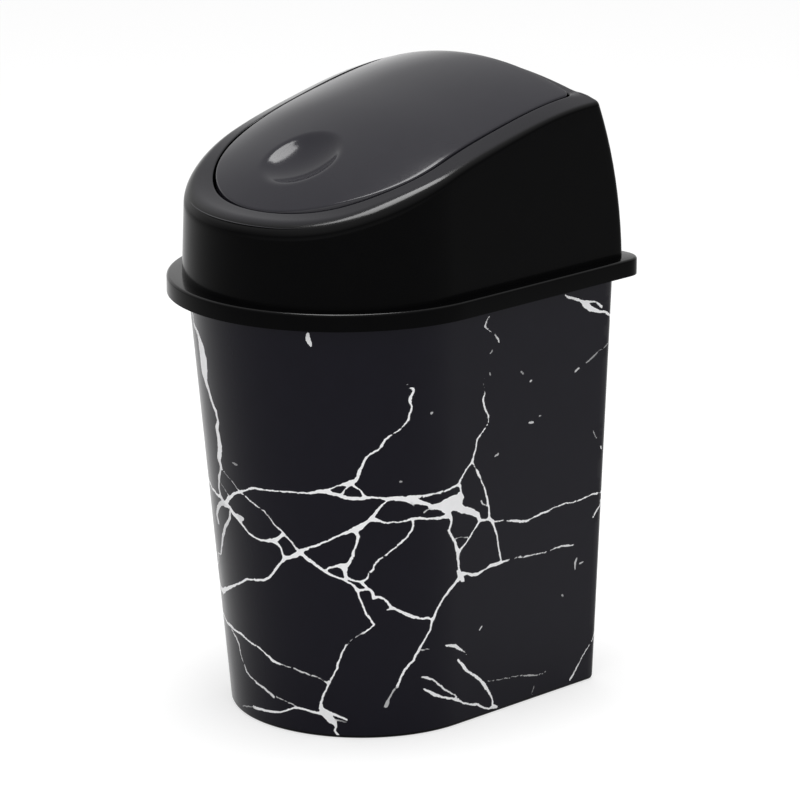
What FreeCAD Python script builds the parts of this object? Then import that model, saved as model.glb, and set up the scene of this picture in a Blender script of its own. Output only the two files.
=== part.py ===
"""Small swing-lid waste bin: a tapered D-plan bucket in a printed film, a lift-off hood and a see-saw flap.

Millimetres, +Z up, +X across the bin and +Y from its round front to its flat rear.  The origin is on the
floor under the middle of the bin.
"""
import FreeCAD
import Part
import math
import os
import re
from collections import namedtuple

import Sketcher
from FreeCAD import Placement, Rotation, Vector

DOCUMENT_NAME = "SwingLidBin"
PARTS_FOLDER = "parts"
LEVEL_TOLERANCE = 0.001
UPWARD = 0.5
DOME_SECTIONS = 5

# Driving dimensions: name, value in millimetres (degrees where the name ends in _angle), meaning
SIZES = [
    ("base_half_width", 65.0, "bucket outside at the floor, centre to side"),
    ("base_front", 72.0, "bucket outside at the floor, origin to front"),
    ("base_rear", 93.5, "bucket outside at the floor, origin to rear"),
    ("base_corner", 5.0, "rear corner radius at the floor"),
    ("mouth_half_width", 74.4, "bucket outside at the mouth, centre to side"),
    ("mouth_front", 95.4, "bucket outside at the mouth, origin to front"),
    ("mouth_rear", 95.4, "bucket outside at the mouth, origin to rear"),
    ("mouth_corner", 6.0, "rear corner radius at the mouth"),
    ("bucket_height", 218.0, "floor to the top of the mouth flange"),
    ("bucket_wall", 2.0, "bucket side wall"),
    ("floor_thickness", 2.2, "bucket floor"),
    ("foot_height", 2.5, "standing rim under the floor"),
    ("foot_width", 6.0, "width of the standing rim"),
    ("foot_edge", 1.2, "rounding of the standing rim's outer edge"),
    ("flange_width", 7.4, "mouth flange beyond the wall"),
    ("flange_thickness", 2.0, "mouth flange"),
    ("flange_corner", 9.0, "rear corner radius of the flange"),
    ("lip_depth", 3.5, "turned-down lip under the flange edge"),
    ("lip_wall", 1.6, "turned-down lip"),
    ("film_thickness", 0.25, "printed film on the bucket wall"),
    ("film_foot", 1.6, "floor to the film's lower edge"),
    ("film_top_gap", 2.5, "flange underside to the film's upper edge"),
    ("rim_clearance", 0.7, "flange edge to the inside of the hood skirt"),
    ("skirt_wall", 2.0, "hood skirt around the flange"),
    ("skirt_height", 8.5, "hood skirt, lower edge to ledge"),
    ("rim_corner", 11.5, "rear corner radius of the hood skirt"),
    ("rim_edge", 1.0, "rounding of the skirt's upper edge"),
    ("ledge_width", 7.5, "flat ledge between skirt and dome"),
    ("ledge_thickness", 2.0, "flat ledge"),
    ("hood_wall", 2.0, "dome wall"),
    ("dome_draft_angle", 2.0, "lean of the dome's side wall"),
    ("dome_corner", 4.0, "rear corner radius of the dome"),
    ("dome_level", 104.0, "height over the ledge that clears the crown"),
    ("lean_radius", 210.0, "side-view radius of the dome's rear wall"),
    ("shoulder_radius", 4.0, "rounding between dome wall and crown"),
    ("side_strip", 13.6, "dome foot to the middle of the seam, sides"),
    ("front_strip", 17.2, "dome foot to the middle of the seam, front"),
    ("rear_strip", 24.5, "dome foot to the middle of the seam, rear"),
    ("seam_gap", 1.2, "gap between flap and hood"),
    ("seam_corner", 5.0, "rear corner radius of the seam"),
    ("collar_depth", 10.5, "collar around the opening, below the crown"),
    ("collar_wall", 1.8, "collar around the opening"),
    ("rest_width", 4.0, "rest ledge under the flap's rear edge"),
    ("rest_thickness", 1.8, "rest ledge"),
    ("rest_reach", 16.0, "rest ledge, forward from the rear of the seam"),
    ("rest_gap", 0.3, "flap skirt to the rest ledge"),
    ("flap_crown_radius", 192.0, "flap's arch across the bin"),
    ("flap_wall", 2.0, "flap panel and skirt"),
    ("flap_skirt", 8.0, "flap edge, depth below the crown"),
    ("pivot_from_front", 58.0, "front of the seam to the pivot axis"),
    ("pivot_height", 53.0, "ledge to the pivot axis"),
    ("pin_radius", 2.5, "pivot pin"),
    ("pin_clearance", 0.08, "pin to its hole, radial"),
    ("flap_boss_radius", 6.0, "boss that carries the pin"),
    ("hood_boss_radius", 6.5, "boss around the pin's hole"),
    ("hood_boss_width", 3.0, "boss around the pin's hole"),
    ("dimple_from_front", 33.2, "front of the seam to the middle of the finger dimple"),
    ("dimple_height", 60.8, "ledge to the rim plane of the dimple"),
    ("dimple_tilt_angle", 26.0, "slope of the dimple's rim plane"),
    ("dimple_radius", 21.5, "finger dimple, rim"),
    ("dimple_depth", 5.5, "finger dimple"),
]

# Crown stations from front to rear: y, height over the ledge and arch radius across the bin
HOOD_STATIONS = [
    (-112.0, 38.4, 2500.0),
    (-81.0, 40.9, 2500.0),
    (-58.0, 49.2, 1600.0),
    (-34.0, 61.6, 440.0),
    (-8.0, 74.5, 245.0),
    (20.0, 83.5, 209.0),
    (50.0, 90.3, 200.0),
    (78.0, 93.2, 195.0),
    (106.0, 92.4, 194.0),
]
FLAP_STATIONS = [
    (-90.0, 33.5),
    (-64.0, 52.0),
    (-36.0, 66.1),
    (-8.0, 76.8),
    (20.0, 84.2),
    (50.0, 90.3),
    (78.0, 93.2),
    (106.0, 92.4),
]

Plan = namedtuple("Plan", "half_width front rear corner")


def crown_alias(crown, index, quantity):
    """Name of one station's value on the sheet."""
    return f"{crown}_crown_{index}_{quantity}"


def sheet_rows():
    """Every driving dimension: name, value and meaning."""
    rows = list(SIZES)
    for index, (y, height, radius) in enumerate(HOOD_STATIONS, 1):
        rows.append((crown_alias("hood", index, "place"), y, "hood crown station, y"))
        rows.append((crown_alias("hood", index, "height"), height, "hood crown station, over the ledge"))
        rows.append((crown_alias("hood", index, "arch"), radius, "hood crown station, arch radius"))
    for index, (y, height) in enumerate(FLAP_STATIONS, 1):
        rows.append((crown_alias("flap", index, "place"), y, "flap crown station, y"))
        rows.append((crown_alias("flap", index, "height"), height, "flap crown station, over the ledge"))
    return rows


def add_sheet(doc, rows):
    """Put every driving dimension on the spreadsheet."""
    sheet = doc.addObject("Spreadsheet::Sheet", "Sizes")
    for row, (name, value, meaning) in enumerate(rows, 1):
        sheet.set(f"A{row}", name)
        sheet.set(f"B{row}", str(value))
        sheet.set(f"C{row}", meaning)
        sheet.setAlias(f"B{row}", name)
    doc.recompute()
    return sheet


doc = FreeCAD.newDocument(DOCUMENT_NAME)
rows = sheet_rows()
sheet = add_sheet(doc, rows)
ALIASES = re.compile(r"\b(" + "|".join(name for name, value, meaning in rows) + r")\b")


def on_sheet(text):
    """Write plain size names as references to their cells."""
    return ALIASES.sub(r"Sizes.\1", text)


def sheet_value(text):
    """A formula of sizes as a number."""
    return float(sheet.evalExpression(on_sheet(text)))


def bind(target, path, text):
    """Tie a property to a formula of sizes."""
    target.setExpression(path, on_sheet(text))


# Plans and heights that the pieces share
RIM_TOP = "(bucket_height + ledge_thickness)"
RIM_BOTTOM = f"({RIM_TOP} - skirt_height)"
BASE = Plan("base_half_width", "base_front", "base_rear", "base_corner")
MOUTH = Plan("mouth_half_width", "mouth_front", "mouth_rear", "mouth_corner")


def grown(plan, by, corner=None):
    """The plan moved outwards all round, with its own corner radius if one is given."""
    return Plan(f"{plan.half_width} + {by}", f"{plan.front} + {by}", f"{plan.rear} + {by}",
                corner or f"{plan.corner} + {by}")


FLANGE = grown(MOUTH, "flange_width", "flange_corner")
SKIRT_INSIDE = grown(FLANGE, "rim_clearance", "rim_corner - skirt_wall")
RIM = grown(SKIRT_INSIDE, "skirt_wall", "rim_corner")
FOOT = grown(RIM, "-ledge_width", "dome_corner")
SEAM = Plan(f"{FOOT.half_width} - side_strip", f"{FOOT.front} - front_strip",
            f"{FOOT.rear} - rear_strip", "seam_corner")
OPENING = grown(SEAM, "seam_gap / 2", "seam_corner + seam_gap / 2")
FLAP = grown(SEAM, "-seam_gap / 2", "seam_corner - seam_gap / 2")
PIVOT_Y = f"(pivot_from_front - ({SEAM.front}))"
PIVOT_Z = f"({RIM_TOP} + pivot_height)"


def wall_plan(height):
    """The bucket's outside at a height: the floor plan and the mouth plan with a straight wall between."""
    share = f"({height}) / bucket_height"
    return Plan(*(f"{low} + ({high} - {low}) * {share}" for low, high in zip(BASE, MOUTH)))


def add_datum(sketch, kind, places, value, text):
    """Add a dimension to a sketch and tie it to a formula of sizes."""
    index = sketch.addConstraint(Sketcher.Constraint(kind, *places, value))
    bind(sketch, f"Constraints[{index}]", text)


def add_line(sketch, start, end):
    """Add a straight line to a sketch."""
    return sketch.addGeometry(Part.LineSegment(Vector(*start, 0), Vector(*end, 0)))


def draw_plan(sketch, plan):
    """Draw a D: two quarter arcs for the front, straight sides, a flat rear with rounded corners."""
    wide = sheet_value(plan.half_width)
    rear = sheet_value(plan.rear)
    corner = sheet_value(plan.corner)
    centre = wide - sheet_value(plan.front)
    up = Vector(0, 0, 1)
    front_circle = Part.Circle(Vector(0, centre, 0), up, wide)
    right_circle = Part.Circle(Vector(wide - corner, rear - corner, 0), up, corner)
    left_circle = Part.Circle(Vector(corner - wide, rear - corner, 0), up, corner)
    quarter = math.pi / 2
    front_left = sketch.addGeometry(Part.ArcOfCircle(front_circle, 2 * quarter, 3 * quarter))
    front_right = sketch.addGeometry(Part.ArcOfCircle(front_circle, 3 * quarter, 4 * quarter))
    right = add_line(sketch, (wide, centre), (wide, rear - corner))
    right_corner = sketch.addGeometry(Part.ArcOfCircle(right_circle, 0, quarter))
    back = add_line(sketch, (wide - corner, rear), (corner - wide, rear))
    left_corner = sketch.addGeometry(Part.ArcOfCircle(left_circle, quarter, 2 * quarter))
    left = add_line(sketch, (-wide, rear - corner), (-wide, centre))
    loop = [front_left, front_right, right, right_corner, back, left_corner, left]
    for piece, following in zip(loop, loop[1:] + loop[:1]):
        sketch.addConstraint(Sketcher.Constraint("Tangent", piece, 2, following, 1))
    sketch.addConstraint(Sketcher.Constraint("Equal", front_left, front_right))
    sketch.addConstraint(Sketcher.Constraint("Equal", right_corner, left_corner))
    sketch.addConstraint(Sketcher.Constraint("PointOnObject", front_left, 3, -2))
    sketch.addConstraint(Sketcher.Constraint("PointOnObject", front_left, 2, -2))
    sketch.addConstraint(Sketcher.Constraint("Horizontal", back))
    sketch.addConstraint(Sketcher.Constraint("Vertical", right))
    sketch.addConstraint(Sketcher.Constraint("Vertical", left))
    add_datum(sketch, "Radius", (front_left,), wide, plan.half_width)
    add_datum(sketch, "Radius", (right_corner,), corner, plan.corner)
    add_datum(sketch, "DistanceY", (front_left, 2, -1, 1), wide - centre, plan.front)
    add_datum(sketch, "DistanceY", (-1, 1, back, 1), rear, plan.rear)


def plan_sketch(name, plan, height):
    """A D in a level plane."""
    sketch = doc.addObject("Sketcher::SketchObject", name)
    bind(sketch, "Placement.Base.z", height)
    draw_plan(sketch, plan)
    return sketch


def taper(name, lower, low, upper, high):
    """A solid with straight walls between two D plans."""
    solid = doc.addObject("Part::Loft", name)
    solid.Sections = [plan_sketch(f"{name}_low", lower, low), plan_sketch(f"{name}_high", upper, high)]
    solid.Solid = True
    solid.Ruled = True
    return solid


def block(name, plan, low, length):
    """A D plan raised straight up."""
    solid = doc.addObject("Part::Extrusion", name)
    solid.Base = plan_sketch(f"{name}_plan", plan, low)
    solid.DirMode = "Normal"
    solid.Solid = True
    bind(solid, "LengthFwd", length)
    return solid


def cut(name, base, tool):
    """What is left of base without tool."""
    result = doc.addObject("Part::Cut", name)
    result.Base = base
    result.Tool = tool
    return result


def fuse(name, *solids):
    """Several solids as one."""
    result = doc.addObject("Part::MultiFuse", name)
    result.Shapes = list(solids)
    return result


def common(name, *solids):
    """What several solids share."""
    result = doc.addObject("Part::MultiCommon", name)
    result.Shapes = list(solids)
    result.Refine = False
    return result


def crosswise_rod(name, radius, start, length, mirrored):
    """A round rod along X at the pivot axis, on the right or mirrored to the left."""
    rod = doc.addObject("Part::Cylinder", name)
    rod.Placement = Placement(Vector(), Rotation(Vector(0, 1, 0), -90.0 if mirrored else 90.0))
    bind(rod, "Radius", radius)
    bind(rod, "Height", length)
    bind(rod, "Placement.Base.x", f"-({start})" if mirrored else start)
    bind(rod, "Placement.Base.y", PIVOT_Y)
    bind(rod, "Placement.Base.z", PIVOT_Z)
    return rod


def crown_section(name, y, height, arch, below):
    """One cross-section under the crown: upright sides, a level foot and an arched top."""
    half_width = f"({RIM.half_width} + ledge_width)"
    foot_level = f"{RIM_BOTTOM} - skirt_height"
    radius = f"{arch} - {below}"
    centre_level = f"{RIM_TOP} + {height} - {arch}"
    wide = sheet_value(half_width)
    foot = sheet_value(foot_level)
    bow = sheet_value(radius)
    centre = sheet_value(centre_level)
    edge = centre + math.sqrt(bow ** 2 - wide ** 2)
    sketch = doc.addObject("Sketcher::SketchObject", name)
    sketch.Placement = Placement(Vector(), Rotation(Vector(1, 0, 0), 90.0))
    bind(sketch, "Placement.Base.y", y)
    circle = Part.Circle(Vector(0, centre, 0), Vector(0, 0, 1), bow)
    left_end = circle.parameter(Vector(-wide, edge, 0))
    right_end = circle.parameter(Vector(wide, edge, 0))
    arc = sketch.addGeometry(Part.ArcOfCircle(circle, right_end, left_end))
    left = add_line(sketch, (-wide, edge), (-wide, foot))
    level = add_line(sketch, (-wide, foot), (wide, foot))
    right = add_line(sketch, (wide, foot), (wide, edge))
    loop = [arc, left, level, right]
    for piece, following in zip(loop, loop[1:] + loop[:1]):
        sketch.addConstraint(Sketcher.Constraint("Coincident", piece, 2, following, 1))
    sketch.addConstraint(Sketcher.Constraint("Vertical", left))
    sketch.addConstraint(Sketcher.Constraint("Vertical", right))
    sketch.addConstraint(Sketcher.Constraint("Symmetric", level, 1, level, 2, -2))
    sketch.addConstraint(Sketcher.Constraint("PointOnObject", arc, 3, -2))
    add_datum(sketch, "DistanceX", (level, 1, level, 2), 2 * wide, f"2 * {half_width}")
    add_datum(sketch, "DistanceY", (-1, 1, level, 1), foot, foot_level)
    add_datum(sketch, "Radius", (arc,), bow, radius)
    add_datum(sketch, "DistanceY", (-1, 1, arc, 3), centre, centre_level)
    return sketch


def crown(name, kind, below="0"):
    """Everything under the hood's or the flap's crown, the crown lowered by an amount."""
    stations = HOOD_STATIONS if kind == "hood" else FLAP_STATIONS
    solid = doc.addObject("Part::Loft", name)
    sections = []
    for index in range(1, len(stations) + 1):
        arch = crown_alias("hood", index, "arch") if kind == "hood" else "flap_crown_radius"
        sections.append(crown_section(f"{name}_{index}", crown_alias(kind, index, "place"),
                                      crown_alias(kind, index, "height"), arch, f"({below})"))
    solid.Sections = sections
    solid.Solid = True
    solid.Ruled = False
    return solid


def shoulder(name, base, radius):
    """Round the edge between crown and walls."""
    doc.recompute()
    level = sheet_value(RIM_TOP) + LEVEL_TOLERANCE
    crown_face = max((face for face in base.Shape.Faces if face.CenterOfMass.z > level
                      and face.normalAt(*middle(face)).z > UPWARD), key=lambda face: face.Area)
    size = sheet_value(radius)
    result = doc.addObject("Part::Fillet", name)
    result.Base = base
    result.Edges = [(number, size, size) for number, edge in enumerate(base.Shape.Edges, 1)
                    if any(edge.isSame(other) for other in crown_face.Edges)]
    return result


def middle(face):
    """The middle of a face's parameter range."""
    u_low, u_high, v_low, v_high = face.ParameterRange
    return (u_low + u_high) / 2, (v_low + v_high) / 2


def rounded(name, base, level, radius):
    """Round every edge of a solid that lies in one level plane."""
    doc.recompute()
    height = sheet_value(level)
    size = sheet_value(radius)
    result = doc.addObject("Part::Fillet", name)
    result.Base = base
    result.Edges = [(number, size, size) for number, edge in enumerate(base.Shape.Edges, 1)
                    if all(abs(vertex.Z - height) < LEVEL_TOLERANCE for vertex in edge.Vertexes)]
    return result


def piece(solid, label):
    """Name the finished solid of a sub-part."""
    solid.Label = label
    return solid


def make_bucket():
    """Tapered pail with a standing rim below and a turned-down flange around its mouth."""
    sharp = taper("bucket_wall_sharp", BASE, "0", MOUTH, "bucket_height")
    wall = rounded("bucket_wall_solid", sharp, "0", "foot_edge")
    flange = block("bucket_flange", FLANGE, "bucket_height - flange_thickness", "flange_thickness")
    lip_low = "bucket_height - flange_thickness - lip_depth"
    lip_outside = block("bucket_lip_outside", FLANGE, lip_low, "lip_depth + flange_thickness / 2")
    lip_inside = block("bucket_lip_inside", grown(FLANGE, "-lip_wall"), lip_low, "lip_depth")
    lip = cut("bucket_lip", lip_outside, lip_inside)
    inside_low = "foot_height + floor_thickness"
    inside = taper("bucket_inside", grown(wall_plan(inside_low), "-bucket_wall"), inside_low,
                   grown(MOUTH, "-bucket_wall"), "bucket_height")
    hollow = block("bucket_foot_hollow", grown(BASE, "-foot_width", "base_corner"), "0", "foot_height")
    outside = fuse("bucket_outside", wall, flange, lip)
    return piece(cut("bucket", outside, fuse("bucket_hollows", inside, hollow)), "bucket")


def make_film():
    """Printed film wrapped around the bucket's wall."""
    high = "bucket_height - flange_thickness - film_top_gap"
    outside = taper("film_outside", grown(wall_plan("film_foot"), "film_thickness"), "film_foot",
                    grown(wall_plan(high), "film_thickness"), high)
    inside = taper("film_inside", wall_plan("film_foot"), "film_foot", wall_plan(high), high)
    return piece(cut("marble_film", outside, inside), "marble_film")


def dome_walls(name, inset):
    """The dome's walls: drafted in front and at the sides, leaning forward on an arc at the rear."""
    sections = []
    for index in range(DOME_SECTIONS):
        rise = f"(dome_level * {index} / {DOME_SECTIONS - 1})"
        drawn_in = f"({inset} + {rise} * tan(dome_draft_angle * 1deg))"
        bent = f"(lean_radius - sqrt(lean_radius ^ 2 - {rise} ^ 2))"
        plan = Plan(f"{FOOT.half_width} - {drawn_in}", f"{FOOT.front} - {drawn_in}",
                    f"{FOOT.rear} - {inset} - {bent}", f"dome_corner - {inset}")
        sections.append(plan_sketch(f"{name}_{index}", plan, f"{RIM_TOP} + {rise}"))
    solid = doc.addObject("Part::Loft", name)
    solid.Sections = sections
    solid.Solid = True
    solid.Ruled = False
    return solid


def dome(name, inset):
    """The hood's dome under its rounded crown, drawn in by a wall's thickness for its inside."""
    walls = dome_walls(f"{name}_walls", inset)
    sharp = common(f"{name}_sharp", walls, crown(f"{name}_crown", "hood", inset))
    return shoulder(name, sharp, f"shoulder_radius - {inset}")


def make_hood():
    """Lift-off hood: skirt and ledge, dome, collar around the opening, pin bosses and the flap's rest."""
    rim = rounded("hood_rim", block("hood_rim_sharp", RIM, RIM_BOTTOM, "skirt_height"), RIM_TOP, "rim_edge")
    skirt_inside = block("hood_skirt_inside", SKIRT_INSIDE, RIM_BOTTOM, "skirt_height - ledge_thickness")
    throat_plan = grown(FOOT, "-hood_wall", "dome_corner - hood_wall")
    throat = block("hood_throat", throat_plan, RIM_BOTTOM, "skirt_height")
    shell = cut("hood_shell", fuse("hood_outside", rim, dome("hood_dome", "0")),
                fuse("hood_hollows", skirt_inside, throat, dome("hood_inside", "hood_wall")))
    collar_outside = block("collar_outside", grown(OPENING, "collar_wall"), RIM_TOP, "dome_level")
    collar_ring = cut("collar_ring", collar_outside, crown("collar_foot", "hood", "collar_depth"))
    collar = common("collar", collar_ring, crown("collar_top", "hood", "hood_wall / 2"))
    bosses = []
    for side, mirrored in (("right", False), ("left", True)):
        bosses.append(crosswise_rod(f"hood_boss_{side}", "hood_boss_radius", OPENING.half_width,
                                    "hood_boss_width", mirrored))
    bare = cut("hood_bare", fuse("hood_with_collar", shell, collar, *bosses),
               block("hood_opening", OPENING, RIM_BOTTOM, "dome_level + skirt_height"))
    rest_top = "flap_skirt + rest_gap"
    rest_outside = block("rest_outside", grown(OPENING, "collar_wall / 2"), RIM_TOP, "dome_level")
    rest_inside = block("rest_inside", grown(OPENING, "-rest_width"), RIM_TOP, "dome_level")
    rest_foot = crown("rest_foot", "hood", f"{rest_top} + rest_thickness")
    rest_ring = cut("rest_ring", rest_outside, fuse("rest_cut", rest_inside, rest_foot, rest_forward_cut()))
    rest = common("rest", rest_ring, crown("rest_top", "hood", rest_top))
    holes = []
    hole_start = f"{OPENING.half_width} - seam_gap"
    for side, mirrored in (("right", False), ("left", True)):
        holes.append(crosswise_rod(f"pin_hole_{side}", "pin_radius + pin_clearance", hole_start,
                                   "hood_boss_width + 2 * seam_gap", mirrored))
    return piece(cut("hood", fuse("hood_with_rest", bare, rest), fuse("pin_holes", *holes)), "hood")


def rest_forward_cut():
    """The part of the opening in front of the rest ledge."""
    box = doc.addObject("Part::Box", "rest_forward")
    bind(box, "Length", f"2 * ({RIM.half_width})")
    bind(box, "Width", f"{SEAM.rear} - rest_reach + {RIM.front}")
    bind(box, "Height", "dome_level")
    bind(box, "Placement.Base.x", f"-({RIM.half_width})")
    bind(box, "Placement.Base.y", f"-({RIM.front})")
    bind(box, "Placement.Base.z", RIM_TOP)
    return box


def dimple_ball(name, wall):
    """Ball whose cap is the finger dimple, or the dimple's underside with a wall."""
    radius = "((dimple_radius ^ 2 + dimple_depth ^ 2) / (2 * dimple_depth))"
    ball = doc.addObject("Part::Sphere", name)
    bind(ball, "Radius", f"{radius} + {wall}")
    forward = f"({radius} - dimple_depth) * sin(dimple_tilt_angle * 1deg)"
    upward = f"({radius} - dimple_depth) * cos(dimple_tilt_angle * 1deg)"
    bind(ball, "Placement.Base.y", f"dimple_from_front - ({SEAM.front}) - {forward}")
    bind(ball, "Placement.Base.z", f"{RIM_TOP} + dimple_height + {upward}")
    return ball


def make_flap():
    """See-saw flap: crowned panel with a skirt, a finger dimple and a pivot pin on each side."""
    sides = block("flap_sides", FLAP, RIM_TOP, "dome_level")
    outside = cut("flap_outside", common("flap_block", sides, crown("flap_top", "flap")),
                  crown("flap_foot", "hood", "flap_skirt"))
    inner_sides = block("flap_inner_sides", grown(FLAP, "-flap_wall"), RIM_TOP, "dome_level")
    hollow = common("flap_hollow", inner_sides, crown("flap_under", "flap", "flap_wall"))
    inside = cut("flap_inside", hollow, dimple_ball("dimple_underside", "flap_wall"))
    panel = cut("flap_panel", outside, fuse("flap_cuts", inside, dimple_ball("dimple", "0")))
    start = f"{FLAP.half_width} - flap_wall"
    pin_length = "flap_wall + seam_gap + hood_boss_width"
    pins = []
    for side, mirrored in (("right", False), ("left", True)):
        pins.append(crosswise_rod(f"flap_boss_{side}", "flap_boss_radius", start, "flap_wall", mirrored))
        pins.append(crosswise_rod(f"pin_{side}", "pin_radius", start, pin_length, mirrored))
    return piece(fuse("flap", panel, *pins), "flap")


def check(subparts):
    """Stop if any object failed or any sub-part is empty or invalid."""
    for item in doc.Objects:
        if "Invalid" in item.State or "Error" in item.State:
            raise RuntimeError(f"{item.Name} failed: {item.State}")
    for subpart in subparts:
        if subpart.Shape.isNull() or not subpart.Shape.isValid():
            raise RuntimeError(f"{subpart.Label} has no valid shape")


subparts = [make_bucket(), make_film(), make_hood(), make_flap()]
doc.recompute()
check(subparts)
os.makedirs(PARTS_FOLDER, exist_ok=True)
for subpart in subparts:
    subpart.Shape.exportStep(f"{PARTS_FOLDER}/{subpart.Label}.step")
    box = subpart.Shape.optimalBoundingBox()
    print(f"{subpart.Label}: {len(subpart.Shape.Solids)} solid, {subpart.Shape.Volume:.0f} mm3, "
          f"x {box.XMin:.2f}..{box.XMax:.2f}, y {box.YMin:.2f}..{box.YMax:.2f}, "
          f"z {box.ZMin:.2f}..{box.ZMax:.2f}")
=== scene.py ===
"""Looks of a small swing-lid waste bin: a marble-printed bucket, a glossy lift-off hood and its see-saw flap.

Metres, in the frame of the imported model: +Z up, +X across the bin, +Y from its round front to its flat rear.
"""
import logging
import math
from dataclasses import dataclass, replace
from enum import Enum

import bpy
import numpy as np
from mathutils import Euler, Matrix, Vector, noise
from mathutils.bvhtree import BVHTree


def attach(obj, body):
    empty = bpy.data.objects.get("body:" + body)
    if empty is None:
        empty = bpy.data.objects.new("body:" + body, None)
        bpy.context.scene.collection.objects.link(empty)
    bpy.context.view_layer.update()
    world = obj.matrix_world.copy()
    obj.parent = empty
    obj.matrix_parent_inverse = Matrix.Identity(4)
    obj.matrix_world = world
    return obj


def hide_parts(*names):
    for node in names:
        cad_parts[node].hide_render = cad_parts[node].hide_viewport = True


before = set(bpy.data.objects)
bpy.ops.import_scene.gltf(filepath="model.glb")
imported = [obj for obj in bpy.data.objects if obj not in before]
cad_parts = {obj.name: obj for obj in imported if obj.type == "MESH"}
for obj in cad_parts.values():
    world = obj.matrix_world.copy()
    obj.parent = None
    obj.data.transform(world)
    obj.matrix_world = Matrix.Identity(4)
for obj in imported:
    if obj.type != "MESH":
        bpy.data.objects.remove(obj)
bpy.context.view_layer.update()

LOG = logging.getLogger("swing_lid_bin")
MM = 0.001
SHARP_ANGLE = math.radians(32.0)
TONE = "print_tone"
TINY = 1e-12

Size = float | np.ndarray
Colour = tuple[float, float, float, float]

# Steps around a D plan: a quarter of its front, a side, a rear corner and the rear
ARC_STEPS = 48
SIDE_STEPS = 36
CORNER_STEPS = 8
REAR_STEPS = 40


def outline_shares(finer: int = 1) -> np.ndarray:
    """Work out how far each size of a D plan moves each place around it.

    Args:
        finer: How many places stand for each of the usual steps.

    Returns:
        One row per place, from the middle of the front by the right: the shares of half width, front, rear
        and corner in x, and those in y.
    """
    def stretch(across: tuple, along: tuple) -> np.ndarray:
        """Line up the shares of one stretch of the outline."""
        return np.stack(np.broadcast_arrays(*across, *along), -1).reshape(-1, 2, 4)

    turn = np.linspace(0.0, math.pi / 2, ARC_STEPS * finer, endpoint=False)
    back_turn = math.pi / 2 - turn
    bend = np.linspace(0.0, math.pi / 2, CORNER_STEPS * finer, endpoint=False)
    side = np.linspace(0.0, 1.0, SIDE_STEPS * finer, endpoint=False)
    rear = np.linspace(0.0, 1.0, REAR_STEPS * finer, endpoint=False)
    return np.concatenate([
        stretch((np.sin(turn), 0, 0, 0), (1 - np.cos(turn), -1, 0, 0)),
        stretch((1, 0, 0, 0), (1 - side, side - 1, side, -side)),
        stretch((1, 0, 0, np.cos(bend) - 1), (0, 0, 1, np.sin(bend) - 1)),
        stretch((1 - 2 * rear, 0, 0, 2 * rear - 1), (0, 0, 1, 0)),
        stretch((-1, 0, 0, 1 - np.sin(bend)), (0, 0, 1, np.cos(bend) - 1)),
        stretch((-1, 0, 0, 0), (side, -side, 1 - side, side - 1)),
        stretch((-np.sin(back_turn), 0, 0, 0), (1 - np.cos(back_turn), -1, 0, 0)),
    ])


OUTLINE = outline_shares()


@dataclass(frozen=True)
class Plan:
    """A D seen from above: a half round front, straight sides and a flat rear with rounded corners."""

    half_width: Size
    front: Size
    rear: Size
    corner: Size

    def grown(self, by: Size) -> "Plan":
        """The plan moved outwards all round."""
        return Plan(self.half_width + by, self.front + by, self.rear + by, self.corner + by)

    def towards(self, other: "Plan", share: Size) -> "Plan":
        """A plan between this one and another.

        Args:
            other: The other plan.
            share: How far to go towards it, from nought to one.

        Returns:
            The plan in between.
        """
        return Plan(self.half_width + (other.half_width - self.half_width) * share,
                    self.front + (other.front - self.front) * share,
                    self.rear + (other.rear - self.rear) * share,
                    self.corner + (other.corner - self.corner) * share)

    def points(self, shares: np.ndarray = OUTLINE) -> np.ndarray:
        """The outline's places, x and y."""
        sizes = np.stack(np.broadcast_arrays(self.half_width, self.front, self.rear, self.corner), -1)
        return (shares * sizes[..., None, :]).sum(-1)

    def ring(self, height: Size) -> np.ndarray:
        """The outline at a height, or at one height per place."""
        places = self.points()
        return np.column_stack([places, np.broadcast_to(height, len(places))])


def share_between(value: np.ndarray, low: float, high: float) -> np.ndarray:
    """How far values are on the way from one size to another, held at nought and one."""
    return np.clip((value - low) / (high - low), 0.0, 1.0)


def eased(share: np.ndarray) -> np.ndarray:
    """Shares that start and end softly."""
    return share * share * (3 - 2 * share)


def unit(rows: np.ndarray) -> np.ndarray:
    """Directions of the length one."""
    return rows / np.linalg.norm(rows, axis=1, keepdims=True)


def inward(places: np.ndarray) -> np.ndarray:
    """Directions into a plan, square to its outline.

    Args:
        places: The outline's places, x and y, anticlockwise.

    Returns:
        One unit direction per place.
    """
    along = np.roll(places, -1, axis=0) - np.roll(places, 1, axis=0)
    return unit(np.column_stack([-along[:, 1], along[:, 0]]))


def natural_spline(knots: np.ndarray, values: np.ndarray, at: np.ndarray) -> np.ndarray:
    """Read the natural cubic spline through some knots.

    Args:
        knots: Places of the knots, rising.
        values: The spline's values there.
        at: Places to read.

    Returns:
        The spline's values at those places.
    """
    step = np.diff(knots)
    slopes = np.diff(values) / step
    system = np.eye(len(knots))
    pull = np.zeros(len(knots))
    for k in range(1, len(knots) - 1):
        system[k, k - 1:k + 2] = step[k - 1], 2 * (step[k - 1] + step[k]), step[k]
        pull[k] = 6 * (slopes[k] - slopes[k - 1])
    bend = np.linalg.solve(system, pull)
    k = np.clip(np.searchsorted(knots, at) - 1, 0, len(knots) - 2)
    after = at - knots[k]
    before = knots[k + 1] - at
    cubic = (bend[k] * before ** 3 + bend[k + 1] * after ** 3) / (6 * step[k])
    straight = ((values[k] / step[k] - bend[k] * step[k] / 6) * before
                + (values[k + 1] / step[k] - bend[k + 1] * step[k] / 6) * after)
    return cubic + straight


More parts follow.
